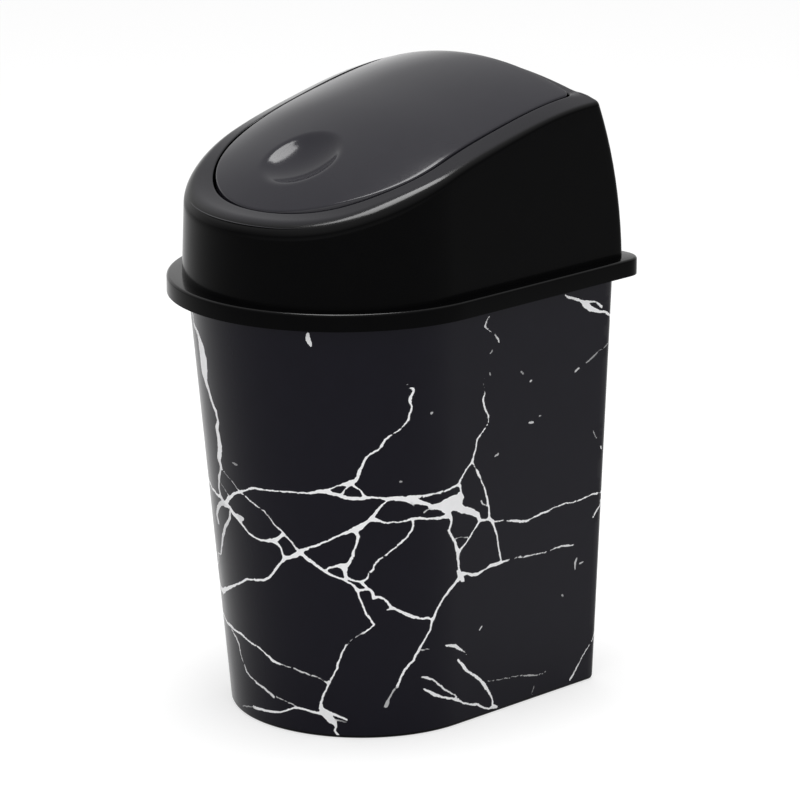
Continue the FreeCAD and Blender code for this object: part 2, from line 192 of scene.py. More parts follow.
@dataclass(frozen=True)
class Crown:
    """A roof over the bin: its height along the middle, and an arch across that changes on the way."""

    stations: tuple[tuple[float, float, float], ...]

    def height(self, x: Size, y: Size) -> np.ndarray:
        """Height of the roof over a place.

        Args:
            x: Place across the bin.
            y: Place along the bin.

        Returns:
            The roof's z there.
        """
        places, heights, radii = np.array(self.stations).T * MM
        middle = natural_spline(places, heights, np.asarray(y))
        bend = natural_spline(places, 1.0 / radii, np.asarray(y))
        return RIM_TOP + middle - x ** 2 * bend / (1 + np.sqrt(1 - (x * bend) ** 2))

    def over(self, places: np.ndarray) -> np.ndarray:
        """Heights of the roof over the places of an outline."""
        return self.height(places[:, 0], places[:, 1])


# Plans and levels that the pieces share
RIM_TOP = 220.0 * MM
BASE = Plan(65.0 * MM, 72.0 * MM, 93.5 * MM, 5.0 * MM)
MOUTH = Plan(74.4 * MM, 95.4 * MM, 95.4 * MM, 6.0 * MM)
MOUTH_LEVEL = 218.0 * MM
RIM = Plan(84.5 * MM, 105.5 * MM, 105.5 * MM, 11.5 * MM)
DOME_FOOT = Plan(77.0 * MM, 98.0 * MM, 98.0 * MM, 4.0 * MM)
SEAM = Plan(63.4 * MM, 80.8 * MM, 73.5 * MM, 5.0 * MM)
SEAM_GAP = 1.2 * MM
OPENING_HALF_WIDTH = 64.0 * MM
FLAP_HALF_WIDTH = 62.8 * MM
ROD_SIDES = 48
LYING = Euler((0.0, math.pi / 2, 0.0))
PIVOT_Y = -22.8 * MM
PIVOT_Z = 273.0 * MM

# Stations of the two roofs in millimetres: place along the bin, height over the rim, radius of the arch
HOOD_CROWN = Crown((
    (-112.0, 38.4, 2500.0),
    (-81.0, 40.9, 2500.0),
    (-58.0, 49.2, 1600.0),
    (-34.0, 61.6, 440.0),
    (-8.0, 74.5, 245.0),
    (20.0, 83.5, 209.0),
    (50.0, 90.3, 200.0),
    (78.0, 93.2, 195.0),
    (106.0, 92.4, 194.0),
))
FLAP_ARCH = 192.0
FLAP_CROWN = Crown((
    (-90.0, 33.5, FLAP_ARCH),
    (-64.0, 52.0, FLAP_ARCH),
    (-36.0, 66.1, FLAP_ARCH),
    (-8.0, 76.8, FLAP_ARCH),
    (20.0, 84.2, FLAP_ARCH),
    (50.0, 90.3, FLAP_ARCH),
    (78.0, 93.2, FLAP_ARCH),
    (106.0, 92.4, FLAP_ARCH),
))


# Veins that the photograph shows: tone, then places in its 800 by 800 pixels with widths in pixels
SEEN_VEINS = (
    (0.95, ((194, 324, 4), (198, 334, 7), (201, 346, 15), (203, 358, 20), (204, 371, 18), (206, 381, 9),
            (209, 392, 6), (212, 402, 5), (216, 412, 5), (218, 421, 4.4), (217, 429, 7), (219, 439, 8),
            (220, 449, 9), (219, 458, 8), (221, 468, 4))),
    (0.80, ((221, 468, 3.4), (219, 478, 5), (219, 488, 4), (221, 497, 4.4), (225, 504, 5))),
    (0.60, ((221, 484, 1.4), (226, 491, 1.6), (229, 496, 2))),
    (0.90, ((221, 468, 1.4), (226, 474, 1.4), (232, 481, 1.6), (240, 492, 2), (246, 497, 2), (252, 502, 2),
            (258, 507, 1.8), (264, 511, 2), (270, 519, 2), (276, 526, 2), (282, 532, 2.2), (288, 538, 2),
            (294, 545, 2.2), (300, 552, 3))),
    (1.00, ((225, 504, 6), (229, 498, 5), (234, 494, 3), (240, 492, 3.4), (246, 490, 2.4), (252, 488, 3),
            (260, 489, 2.4), (272, 491, 2), (286, 492, 2), (300, 492.5, 2), (309, 493, 2.2), (317, 492, 4),
            (325, 491.5, 5), (333, 493.5, 4), (342, 496, 4), (352, 499, 4), (362, 498.5, 4),
            (371, 497.5, 2.2), (380, 498, 2.6), (390, 498.5, 4), (400, 498.5, 5), (410, 500, 6),
            (418, 502, 5), (426, 504, 4), (434, 507, 4))),
    (1.00, ((326, 491, 2), (335, 487, 1.6), (343, 484.5, 3), (350, 483.5, 6), (355, 481.5, 4),
            (358, 477, 4), (359, 472, 4), (362, 467, 3), (364, 462, 2.6), (366, 458, 3), (371, 454, 2.2),
            (378, 450, 2), (381, 446, 3), (385, 440, 2.6), (390, 436, 2.2), (398, 431, 2), (404, 426, 2.2),
            (408, 420, 2.6), (411, 412, 2.2), (411.5, 406, 2.2), (410, 401, 3.6), (411, 396, 3),
            (414, 391, 3.2), (413, 389, 3), (410, 388, 2))),
    (1.00, ((352, 485, 3), (359, 489, 2), (363, 494, 2.4), (365, 498, 3))),
    (0.90, ((349, 486, 2.4), (345, 490, 2), (341, 495, 3))),
    (0.90, ((308, 334, 3.6), (307.5, 338, 4.6), (309.5, 343, 4.6), (311, 346, 2.6))),
    (1.00, ((565, 295, 2), (569, 297, 3), (575, 299, 3), (581, 301, 3), (585, 304, 6), (589, 307.5, 7),
            (593, 310, 5), (600, 311.5, 3.2), (606, 312.5, 3), (611, 315.5, 2.6), (615, 318.5, 3))),
    (0.95, ((586, 301, 2.4), (594, 302, 2), (598, 304, 2.6), (602, 306.5, 3))),
    (0.75, ((490, 316, 1.4), (487, 321, 2), (485, 326, 2.8), (489, 330, 1.6), (494, 334, 1.6),
            (498, 339, 2.6), (499, 342, 2.2))),
    (0.40, ((492, 351, 2.4), (489, 355, 1.6), (487, 359, 1.2))),
    (0.28, ((485, 370, 1.4), (484, 384, 1.4), (484.5, 393, 1.4))),
    (1.00, ((484.5, 394, 1.6), (483, 399, 3), (484, 406, 3), (486, 411, 2.4), (488.5, 416, 2.2),
            (488.5, 422, 1.8), (486, 428, 1.8), (481, 434, 1.8), (477, 440, 2.8), (476, 448, 2.6),
            (474, 455, 2.6), (472, 462, 2.6), (467, 468, 2.6), (463, 475, 2.6), (460, 481, 3),
            (459, 485, 3.4), (454, 487, 2.6), (446, 490.5, 2.2), (440, 493, 3), (434, 494, 1.8),
            (427, 495.5, 3), (418, 497, 4), (408, 497.5, 4))),
    (1.00, ((472, 462, 2.2), (475, 468, 2), (478, 473, 3.6), (481, 479, 2.2), (484, 487, 2.4),
            (486, 494, 2.6), (488, 502, 2.6), (489, 510, 2.6), (489, 518, 3.4), (492, 522, 2.8),
            (495, 528, 3), (497, 536, 2.6), (498, 546, 2.4), (500, 554, 2.6), (501, 561, 2.6))),
    (1.00, ((460, 486, 3), (461, 492, 2.6), (463, 498, 3))),
    (0.70, ((481, 501, 2.6), (483, 504, 1.8), (487, 505, 1.4))),
    (1.00, ((430, 506, 4), (438, 507, 7), (445, 505, 12), (451, 503.5, 16), (457, 502, 16), (459, 498, 9),
            (459, 494, 4))),
    (1.00, ((456, 506, 10), (464, 510, 8), (472, 512, 7), (478, 515, 5.5), (480, 520, 4), (485, 520, 3),
            (489, 518.5, 3.4))),
    (1.00, ((444, 510, 5), (449, 513, 6), (451.5, 519, 4), (451, 524, 3.6), (449, 530, 3), (451, 536, 3),
            (454, 541, 2.8), (456, 546, 4), (458.5, 552, 5), (458, 560, 3.6), (459, 567, 3),
            (460.5, 575, 5))),
    (0.60, ((411, 502, 2), (414, 505.5, 1.6))),
    (0.60, ((424, 512.5, 2.2), (428, 510, 1.2), (432, 508, 1.6))),
    (0.95, ((489, 519, 3), (495, 521.5, 2), (504, 520.5, 2), (514, 521, 2.6), (522, 521.5, 3),
            (528, 520.5, 2.2), (535, 517, 2.2), (540, 514, 3), (546, 512, 2.4), (555, 507.5, 1.6),
            (564, 504, 2.2), (572, 502, 1.8), (578, 501, 2), (584, 497.5, 1.8), (590, 495, 2),
            (596, 493.5, 2.6), (603, 492, 2))),
    (1.00, ((457, 571, 2), (461, 576, 7), (463, 580, 5), (464, 582, 2))),
    (1.00, ((463, 574, 4), (467, 573.5, 3), (472, 575, 4), (478, 573.5, 3.6), (483, 571, 2.4),
            (487, 568, 2.2), (490, 566, 4), (496, 564.5, 4), (502, 562, 3.4), (507, 560.5, 2))),
    (0.60, ((507, 560.5, 1.8), (513, 558.5, 1.4), (520, 557, 1.6))),
    (0.80, ((520, 557, 1.6), (527, 556.5, 2.2), (534, 554.5, 1.8), (542, 553, 1.4), (550, 551, 1.6),
            (556, 548, 1.8), (561, 546, 2.2), (567, 545.5, 2.6), (573, 545, 1.6))),
    (1.00, ((480, 520, 3), (476, 527, 2.2), (472, 533, 2.2), (468, 540, 2.4), (464, 545, 2.2),
            (460, 551, 3))),
    (0.60, ((455, 539, 1.6), (461, 537.5, 1.4), (468, 537, 1.8))),
    (1.00, ((460, 577, 5), (457, 581, 4), (453, 586, 4), (449, 591, 3.4), (445, 596, 2.6), (441, 602, 2.6),
            (438, 608, 2.8), (436, 613, 3), (433, 619, 3.6), (431.5, 624, 3), (430, 630, 2.2),
            (426, 637, 2.2), (423, 643, 2.6), (419, 650, 3), (416, 655, 3), (413, 661, 3), (408, 666, 3),
            (404, 671, 3), (401, 677, 2.6), (399, 682, 3), (397.5, 686, 3.2))),
    (0.50, ((397, 687, 2), (393, 691, 2), (390, 697, 2.2), (387.5, 702, 4), (386, 706, 4.4))),
    (0.50, ((419, 650, 1.6), (424, 650, 1.8), (429, 649, 1.4))),
    (1.00, ((433, 619, 3), (428, 618, 2.6), (420, 618.5, 2.4), (413, 616.5, 4), (409, 615, 4),
            (402, 612, 2.8), (396, 610, 2.8), (392, 608, 4), (388, 602, 2.6), (383, 598.5, 2.6),
            (378, 597, 3), (374, 598, 4), (373, 594, 3), (371, 590.5, 3), (367, 588.5, 3),
            (365, 585.5, 2.6), (361, 582.5, 2.6), (354, 580.5, 2.2), (348, 578, 2.8))),
    (0.90, ((392, 608, 3), (389, 609.5, 2), (386, 610, 1.4))),
    (1.00, ((300, 553, 4), (304, 556, 4), (309, 560, 4), (314, 564, 3), (320, 568, 3), (326, 572, 3),
            (333, 576, 2.6), (340, 578.5, 2.6), (345, 580.5, 2.6), (351, 583.5, 2.2), (355, 587, 3),
            (358, 590, 4), (362, 590, 3), (367, 589, 2.6))),
    (1.00, ((357, 590, 3), (359, 596, 2.6), (362, 602, 2.6), (364, 609, 2.4), (366, 614, 2.2),
            (370, 619, 2.2), (374, 624, 2.8), (373, 626, 2), (368, 630, 1.8), (364, 633, 2))),
    (0.60, ((364, 633, 1.8), (358, 636, 1.4), (352, 640, 1.2), (346, 645, 1.6))),
    (0.95, ((346, 645, 1.6), (343, 651, 2), (340, 658, 2.2), (338, 664, 2.6), (336, 671, 2.2),
            (333, 677, 2.2), (329, 683, 3), (326, 689, 2.2), (323, 696, 2.4), (321, 702, 3), (321, 708, 5),
            (326, 714, 9), (331, 720, 8), (335, 723, 4.6), (336, 727, 3), (334.5, 731, 2.4),
            (333, 735, 3))),
    (1.00, ((326, 711, 4), (336, 715, 3.4), (344, 718.5, 2.6), (348, 720, 1.4))),
    (0.40, ((336, 720, 2), (346, 722.5, 1.2))),
    (1.00, ((323, 713, 5), (317, 713, 3.4), (310, 711, 3), (304, 709, 3), (296, 707.5, 2.6),
            (290, 709, 2.2), (282, 711.5, 2.2), (275, 712, 3.4), (268, 711, 3), (260, 709, 3.4),
            (254, 707, 3))),
    (0.40, ((254, 707, 2), (247, 706, 2), (243, 706, 1.4))),
    (0.60, ((296, 706, 2), (290, 703, 1.6), (283, 700, 1.4), (277, 697, 1.8))),
    (0.80, ((274, 697, 3.4), (270, 693, 3.2), (264, 688, 2.8), (257, 683, 2.6), (252, 678, 2.2),
            (247, 672, 2.6), (244, 664, 1.6), (241, 655, 1.6), (239, 644, 3), (236, 637, 2.6),
            (232, 630, 2.2))),
    (1.00, ((223, 613, 2.6), (226, 620, 3), (231, 626, 3.6), (235, 630, 3), (241, 634, 3), (248, 640, 2.6),
            (256, 646, 2.6), (263, 651, 2.2), (268, 656, 2.6), (273, 661, 4), (280, 664, 2))),
    (0.70, ((280, 664, 1.6), (290, 667, 1.6), (300, 671, 2.2), (308, 674, 2.2), (316, 677, 1.6),
            (322, 680, 1.4), (329, 683, 2.4))),
    (1.00, ((223, 591, 7), (228, 588, 4), (233, 586, 3), (240, 583, 2.6), (247, 579.5, 3),
            (252, 579.5, 2.2), (258, 580, 2.6), (264, 580, 3.6), (269, 578, 3), (272, 575, 2.4),
            (275, 570, 4), (279, 566, 2.6), (282, 561, 3), (285, 558.5, 4), (290, 557, 4), (295, 555, 5.4),
            (300, 552.5, 5.4), (304, 550, 3.2), (310, 547.5, 2.2), (316, 545.5, 3), (321, 543.5, 2.2),
            (328, 541, 2.2), (335, 537.5, 2.2), (343, 534, 2.6), (350, 531, 4), (356, 529, 6),
            (361, 527, 6), (365, 524, 4), (368, 521, 3.6), (372, 519, 5.6), (376, 520, 4.6),
            (380, 521.5, 2.6), (388, 522.5, 2), (396, 522.5, 2), (404, 521, 2.2), (412, 519, 2.8),
            (420, 518.5, 3), (430, 519, 2.6), (440, 518, 3), (448, 516, 5))),
    (1.00, ((413, 521, 2.6), (413.5, 526, 2.6), (411, 532, 2.2), (406, 538, 2.2), (400, 544, 2.2),
            (393, 549, 2), (386, 555, 2), (379, 560, 2.2), (375, 565, 2.6), (373, 569, 2.6),
            (369, 574, 2.2), (367, 579, 2.6), (362, 582, 2))),
    (1.00, ((373, 517, 4), (377, 510, 2.6), (382, 505, 2.2), (386, 501.5, 2.2), (390, 499, 3.4))),
    (1.00, ((355, 531, 5), (358, 536, 4), (357, 543, 2.6), (354, 550, 2.6), (353, 556, 3), (350, 561, 3),
            (347, 565, 4), (343, 566, 6), (337, 566, 3), (329, 567.5, 2.2), (326, 571, 3))),
    (1.00, ((344, 567, 6), (345.5, 573, 4.4), (346, 579, 3.4))),
    (1.00, ((283, 535, 4), (278, 538.5, 4.4), (272, 541, 4.4), (266, 540.5, 3), (260, 540, 2.6),
            (254, 537, 2.6), (249, 533, 2.6), (244, 527, 2.6), (240, 521, 3.6), (237, 517, 6.5),
            (233, 513, 4.4), (230, 508, 4.4), (226, 504, 5))),
    (1.00, ((274, 541, 4.4), (279, 545, 3.2), (281, 549, 2.6), (283, 554, 2.6), (285, 558, 3.2))),
    (0.80, ((237, 515, 4), (240, 518, 7), (243, 519, 4))),
    (0.75, ((226, 505, 4.4), (221, 503, 5), (218, 508, 5.4), (217, 515, 5), (218.5, 522, 5.6))),
    (0.80, ((230, 512, 4), (230, 518, 4), (225, 528, 4.8), (223, 536, 4.6), (222, 545, 4), (221, 553, 3))),
    (0.90, ((445, 645, 1.8), (450, 646, 3), (455, 646, 3.8), (460, 649, 2.8), (464, 652, 1.8),
            (467, 656, 1))),
    (1.00, ((458, 660, 2.6), (463, 666, 3.6), (467, 671, 3), (472, 674, 2.4), (477, 677, 3.6),
            (481, 681, 3.2), (485, 686, 4.2), (489, 692, 3.2), (492, 699, 2.6), (492.5, 705, 3.4),
            (497, 707, 3))),
    (0.95, ((494, 706.5, 4), (489, 709, 2.8), (484, 708, 2.2), (478, 705, 3), (470, 704, 2.2),
            (463, 703, 2.2), (457, 700, 3), (449, 698, 2.4), (442, 697, 2.4), (435, 695, 4.6),
            (430, 692, 3.4), (424, 689, 2))),
    (0.85, ((421, 677, 2), (427, 677.5, 2.6), (432, 679, 2.2), (437, 683, 2.2), (443, 688, 2.6),
            (449, 692, 2.2), (455, 695, 2), (458, 699, 2.4))),
    (0.45, ((487, 681, 1.6), (498, 680, 1.6), (508, 678, 1.4), (518, 676, 1.4), (527, 675.5, 2.2),
            (536, 675, 1.6), (543, 673.5, 1.6), (546, 671, 1.2))),
    (0.30, ((534, 686, 1.4), (532, 694, 1.6))),
    (0.85, ((570, 680, 3), (574, 673, 2.4), (578, 665, 2), (583, 655, 1.8), (588, 647, 2), (592, 640, 1.6),
            (594, 633, 1.2))),
    (0.90, ((593, 517, 2.6), (596, 511, 2.6), (600, 505, 2.6), (602.5, 500, 2.6))),
    (0.55, ((577, 558, 1.8), (575, 563, 3.8), (575, 568, 2), (574.5, 574, 1.4))),
    (0.55, ((580, 563.5, 2.6), (583, 562, 2))),
    (0.65, ((479.5, 630, 2.4), (481.5, 627, 2.8))),
    (0.60, ((575, 371.5, 2.8), (579, 368, 2.8))),
    (0.35, ((586, 363, 2), (593, 357, 2.8), (600, 350, 1.4), (606, 346, 1.4), (613, 342, 2.4))),
    (0.40, ((593, 431, 2), (597, 439, 1.4))),
    (0.70, ((600.5, 446, 2.4), (601.5, 448, 2.4))),
    (0.65, ((530.5, 381, 3), (531.5, 380, 2.4))),
    (0.65, ((529, 422.5, 2.6), (533, 422.5, 2.6))),
    (0.40, ((539.5, 416, 2.6), (540.5, 416, 2.4))),
    (0.35, ((521.5, 372, 3), (523, 374, 2.6))),
    (0.35, ((490, 373, 2.4), (490.5, 375, 2.4))),
    (0.50, ((431.5, 413, 2.8), (432.5, 412.5, 2.8))),
    (0.50, ((495, 456.5, 2), (498, 454, 2.8))),
    (0.30, ((233, 463, 2.4), (237, 465, 2.6))),
    (0.35, ((400, 481, 2.8), (402, 481, 2.4))),
    (0.35, ((562, 595, 2.8), (563, 596, 2.4))),
    (0.35, ((407, 383, 2.2), (407.5, 384, 2))),
)

# Veins on the sides that the photograph hides: tone, then steps around the outline, heights and widths in mm
HIDDEN_VEINS = (
    (1.00, ((215.6, 111, 2.0), (208, 114, 1.2), (201, 121, 1.6), (193, 127, 1.4), (186, 134, 1.1),
            (178, 128, 1.2), (171, 131, 2.4), (163, 126, 1.2), (154, 128, 1.0), (147, 121, 1.4),
            (139, 124, 2.0), (131, 118, 1.2), (122, 121, 1.1), (113, 115, 2.6), (104, 112, 1.3),
            (95, 104, 1.0), (86.6, 98.6, 1.0))),
    (1.00, ((207.8, 60.4, 2.6), (201, 66, 1.4), (194, 71, 1.2), (187, 74, 1.1), (181, 78, 1.6),
            (173, 80, 1.2), (166, 73, 2.6), (158, 76, 1.3), (150, 69, 1.1), (143, 72, 1.0))),
    (0.95, ((204.6, 46.6, 1.2), (198, 42, 1.2), (190, 44, 1.8), (183, 38, 1.0), (177, 33, 1.4),
            (172, 20, 2.6), (169, 8, 1.2), (168, 2, 1.2))),
    (1.00, ((171, 131, 2.6), (168, 141, 1.4), (170, 152, 1.1), (164, 164, 1.2), (160, 176, 2.0),
            (161, 190, 1.0), (157, 204, 1.2), (156, 213, 1.0))),
    (0.90, ((163, 126, 1.6), (160, 115, 1.1), (163, 103, 1.3), (160, 92, 1.0), (166, 73, 2.4))),
    (1.00, ((181, 78, 2.0), (179, 92, 1.2), (181, 107, 1.0), (178, 118, 1.2), (178, 128, 1.8))),
    (1.00, ((139, 124, 2.2), (135, 110, 1.2), (136, 97, 1.1), (130, 86, 1.8), (124, 80, 3.0),
            (116, 76, 1.4), (108, 78, 1.1), (101, 70, 1.2), (95, 72, 1.6), (91, 67, 0.8))),
    (1.00, ((124, 80, 3.0), (122, 66, 1.4), (126, 52, 1.1), (121, 40, 1.4), (119, 27, 2.6), (114, 16, 1.2),
            (113, 4, 1.4))),
    (0.90, ((119, 27, 2.4), (128, 22, 1.2), (136, 25, 1.0), (144, 17, 1.2), (151, 20, 1.8), (159, 13, 1.0),
            (172, 20, 1.8))),
    (1.00, ((113, 115, 2.8), (110, 129, 1.4), (113, 142, 1.1), (108, 156, 1.3), (105, 168, 2.2),
            (107, 181, 1.1), (103, 195, 1.2), (104, 212, 1.0))),
    (0.85, ((105, 168, 2.0), (114, 172, 1.1), (122, 168, 1.2), (130, 174, 1.0), (138, 170, 1.6),
            (146, 176, 1.0), (160, 176, 1.8))),
    (0.70, ((130, 174, 1.2), (128, 188, 1.0), (131, 200, 0.9))),
    (0.60, ((186, 134, 1.2), (188, 150, 0.9), (185, 163, 1.1), (187, 172, 0.8))),
    (0.60, ((150, 69, 1.2), (152, 56, 1.0), (149, 45, 0.9), (151, 36, 0.8))),
    (0.80, ((101, 70, 1.6), (99, 56, 1.1), (102, 44, 1.0), (98, 32, 1.4), (92, 27, 0.9), (86.8, 24, 0.7))),
    (0.95, ((207.2, 197.6, 1.2), (205, 205, 1.1), (204, 213, 1.0))),
    (0.70, ((209.8, 81.8, 0.8), (206, 75, 0.8), (201, 66, 1.0))),
    (0.95, ((87.2, 188.2, 1.2), (93, 184, 1.0), (99, 187, 1.4), (103, 195, 1.2))),
    (0.60, ((150, 150, 1.6), (147, 146, 1.0), (144, 148, 0.8))),
    (0.60, ((122, 140, 1.4), (125, 137, 1.0), (127, 132, 0.8))),
    (0.55, ((174, 178, 1.4), (176, 184, 0.9))),
    (0.50, ((142, 205, 1.3), (144, 199, 0.9))),
    (0.55, ((112, 50, 1.3), (110, 47, 0.9))),
    (0.50, ((190, 196, 1.3), (191, 192, 0.9))),
)


def bucket_wall(height: Size) -> Plan:
    """The bucket's outside at a height."""
    return BASE.towards(MOUTH, height / MOUTH_LEVEL)


class Closure(Enum):
    """How a skin of rings ends."""

    LOOP = "the last ring joins the first"
    POLES = "the first and the last ring are single points"


def skin(name: str, rings: list[np.ndarray], closure: Closure,
         material: bpy.types.Material) -> bpy.types.Object:
    """Make a closed mesh from rings of matching points.

    Args:
        name: The piece's name.
        rings: The rings in order, upwards on the outside and downwards on the inside.
        closure: How the ends are closed.
        material: The piece's finish.

    Returns:
        The new object, with smooth faces and sharp edges where they turn hard.
    """
    starts = np.cumsum([0] + [len(ring) for ring in rings])
    count = max(len(ring) for ring in rings)
    here = np.arange(count)
    ahead = (here + 1) % count
    pairs = list(zip(range(len(rings)), range(1, len(rings))))
    if closure is Closure.LOOP:
        pairs.append((len(rings) - 1, 0))
    faces: list[list[int]] = []
    for low, high in pairs:
        if len(rings[low]) == 1:
            quads = np.column_stack([np.full(count, starts[low]), starts[high] + ahead, starts[high] + here])
        elif len(rings[high]) == 1:
            quads = np.column_stack([starts[low] + here, starts[low] + ahead, np.full(count, starts[high])])
        else:
            quads = np.column_stack([starts[low] + here, starts[low] + ahead,
                                     starts[high] + ahead, starts[high] + here])
        faces.extend(quads.tolist())
    mesh = bpy.data.meshes.new(name)
    mesh.from_pydata(np.concatenate(rings).tolist(), [], faces)
    return placed(name, mesh, material)


def placed(name: str, mesh: bpy.types.Mesh, *materials: bpy.types.Material) -> bpy.types.Object:
    """Put a mesh into the scene with its finishes, smooth between its sharp edges.

    Args:
        name: The piece's name.
        mesh: Its mesh, in the bin's frame.
        materials: Its finishes, in slot order.

    Returns:
        The new object.
    """
    for material in materials:
        mesh.materials.append(material)
    mesh.polygons.foreach_set("use_smooth", np.ones(len(mesh.polygons), bool))
    mesh.set_sharp_from_angle(angle=SHARP_ANGLE)
    mesh.update()
    piece = bpy.data.objects.new(name, mesh)
    bpy.context.scene.collection.objects.link(piece)
    return piece


def bends(start: float, end: float, steps: int) -> np.ndarray:
    """Even turns from one angle to another, both in degrees, as sines and cosines in columns."""
    angles = np.radians(np.linspace(start, end, steps + 1))
    return np.column_stack([np.sin(angles), np.cos(angles)])


def add_node(tree: bpy.types.NodeTree, kind: str, feeds: dict[str | int, object],
             **options: object) -> bpy.types.NodeSocket:
    """Add a node to a tree.

    Args:
        tree: The tree.
        kind: The node's type.
        feeds: What goes into its inputs: sockets of other nodes, or values.
        options: Its own settings.

    Returns:
        Its first output.
    """
    node = tree.nodes.new(kind)
    for key, value in options.items():
        setattr(node, key, value)
    for key, value in feeds.items():
        if isinstance(value, bpy.types.NodeSocket):
            tree.links.new(value, node.inputs[key])
        else:
            node.inputs[key].default_value = value
    return node.outputs[0]


def ranged(tree: bpy.types.NodeTree, value: bpy.types.NodeSocket, span: tuple[float, float],
           result: tuple[float, float] = (0.0, 1.0)) -> bpy.types.NodeSocket:
    """Map a span of values to another one, held at its ends.

    Args:
        tree: The tree to add the node to.
        value: The value.
        span: Its lowest and highest.
        result: What these become.

    Returns:
        The mapped value.
    """
    return add_node(tree, "ShaderNodeMapRange", {"Value": value, "From Min": span[0], "From Max": span[1],
                                                 "To Min": result[0], "To Max": result[1]})


def upward_part(tree: bpy.types.NodeTree, vector: bpy.types.NodeSocket) -> bpy.types.NodeSocket:
    """The Z of a vector."""
    return add_node(tree, "ShaderNodeSeparateXYZ", {"Vector": vector}).node.outputs["Z"]


def ramp(tree: bpy.types.NodeTree, value: bpy.types.NodeSocket,
         stops: list[tuple[float, Colour]]) -> bpy.types.NodeSocket:
    """Turn a value into a colour.

    Args:
        tree: The tree to add the node to.
        value: The value.
        stops: Values, rising, and the colours there.

    Returns:
        The colour.
    """
    colour = add_node(tree, "ShaderNodeValToRGB", {"Fac": value})
    elements = colour.node.color_ramp.elements
    while len(elements) < len(stops):
        elements.new(1.0)
    for element, (place, tint) in zip(elements, stops):
        element.position = place
        element.color = tint
    return colour


def new_material(name: str) -> tuple[bpy.types.Material, bpy.types.NodeTree, bpy.types.Node]:
    """Start a node material.

    Args:
        name: The material's name.

    Returns:
        The material, its tree and its shader.
    """
    material = bpy.data.materials.new(name)
    material.use_nodes = True
    return material, material.node_tree, material.node_tree.nodes["Principled BSDF"]


@dataclass(frozen=True)
class TopCoatAndPaintedSheen:
    """A clear coat on the upper faces of a piece, gloss on all of them, and a painted sheen: a paler colour
    painted on the highest, upward faces, where the overhead light falls.
    """

    # Colour of the painted sheen: the paler black that stands in for the overhead light on upward faces
    colour: Colour
    coat: float
    coat_roughness: float = 0.16
    coat_slopes: tuple[float, float] = (0.30, 0.80)
    sheen_slopes: tuple[float, float] = (0.75, 1.0)
    sheen_heights: tuple[float, float] = (225.0 * MM, 245.0 * MM)
    uneven: tuple[float, float] = (0.92, 1.08)

    def over(self, tree: bpy.types.NodeTree, grain: bpy.types.NodeSocket,
             colour: bpy.types.NodeSocket) -> bpy.types.NodeSocket:
        """Lay the coat and the painted sheen over a plastic.

        Args:
            tree: The material's tree.
            grain: The plastic's grain.
            colour: Its colour.

        Returns:
            The colour with the painted sheen mixed in on the upward faces.
        """
        coordinates = tree.nodes.new("ShaderNodeTexCoord").outputs
        slope = upward_part(tree, coordinates["Normal"])
        height = upward_part(tree, coordinates["Object"])
        shader = tree.nodes["Principled BSDF"]
        shader.inputs["Coat Roughness"].default_value = self.coat_roughness
        tree.links.new(ranged(tree, slope, self.coat_slopes, (0.0, self.coat)), shader.inputs["Coat Weight"])
        # Painted sheen: the paler colour is mixed in on upward faces high on the piece, standing in for the
        # light from above
        share = ranged(tree, slope, self.sheen_slopes)
        for part in (ranged(tree, height, self.sheen_heights), ranged(tree, grain, (0.0, 1.0), self.uneven)):
            share = add_node(tree, "ShaderNodeMath", {0: share, 1: part}, operation="MULTIPLY")
        mix = add_node(tree, "ShaderNodeMix", {"Factor": share, 6: colour, 7: self.colour}, data_type="RGBA",
                       clamp_factor=False).node
        return mix.outputs[2]


@dataclass(frozen=True)
class Plastic:
    """Moulded plastic with a faint grain in its colour, gloss and surface."""

    name: str
    dark: Colour
    light: Colour
    roughness: tuple[float, float]
    specular: float
    top: TopCoatAndPaintedSheen | None = None
    grain: float = 90.0
    grain_detail: float = 4.0
    relief: float = 0.01 * MM

    def material(self) -> bpy.types.Material:
        """Build the node material, once.

        Returns:
            The material, the same one each time.
        """
        if self.name in bpy.data.materials:
            return bpy.data.materials[self.name]
        material, tree, shader = new_material(self.name)
        shader.inputs["Specular IOR Level"].default_value = self.specular
        place = tree.nodes.new("ShaderNodeTexCoord").outputs["Object"]
        grain = add_node(tree, "ShaderNodeTexNoise",
                         {"Vector": place, "Scale": self.grain, "Detail": self.grain_detail})
        colour = ramp(tree, grain, [(0.0, self.dark), (1.0, self.light)])
        if self.top:
            colour = self.top.over(tree, grain, colour)
        gloss = ranged(tree, grain, (0.0, 1.0), self.roughness)
        bump = add_node(tree, "ShaderNodeBump", {"Height": grain, "Distance": self.relief})
        tree.links.new(colour, shader.inputs["Base Color"])
        tree.links.new(gloss, shader.inputs["Roughness"])
        tree.links.new(bump, shader.inputs["Normal"])
        return material


# The hood's black gets a painted sheen: the paler colour on its upward faces stands in for the overhead light
LID_GLOSS = Plastic("lid_gloss_black", (0.0008, 0.0008, 0.0009, 1.0), (0.0014, 0.0014, 0.0016, 1.0),
                    (0.14, 0.18), 0.03, TopCoatAndPaintedSheen((0.0140, 0.0134, 0.0172, 1.0), 0.65))
# The flap's black is painted paler than the hood's, a painted sheen that stands in for the overhead light on
# its upward panel
FLAP_PAINTED_LIT = Plastic("flap_black_painted_lit", (0.0158, 0.0151, 0.0196, 1.0), (0.0182, 0.0175, 0.0224, 1.0),
                     (0.12, 0.16), 0.34)
BUCKET_BLACK = Plastic("bucket_gloss_black", (0.0012, 0.0012, 0.0013, 1.0), (0.0020, 0.0020, 0.0022, 1.0),
                       (0.12, 0.17), 0.06)
FILM_SATIN = Plastic("film_satin_black", (0.0040, 0.0035, 0.0074, 1.0), (0.0054, 0.0049, 0.0096, 1.0),
                     (0.18, 0.24), 0.09)


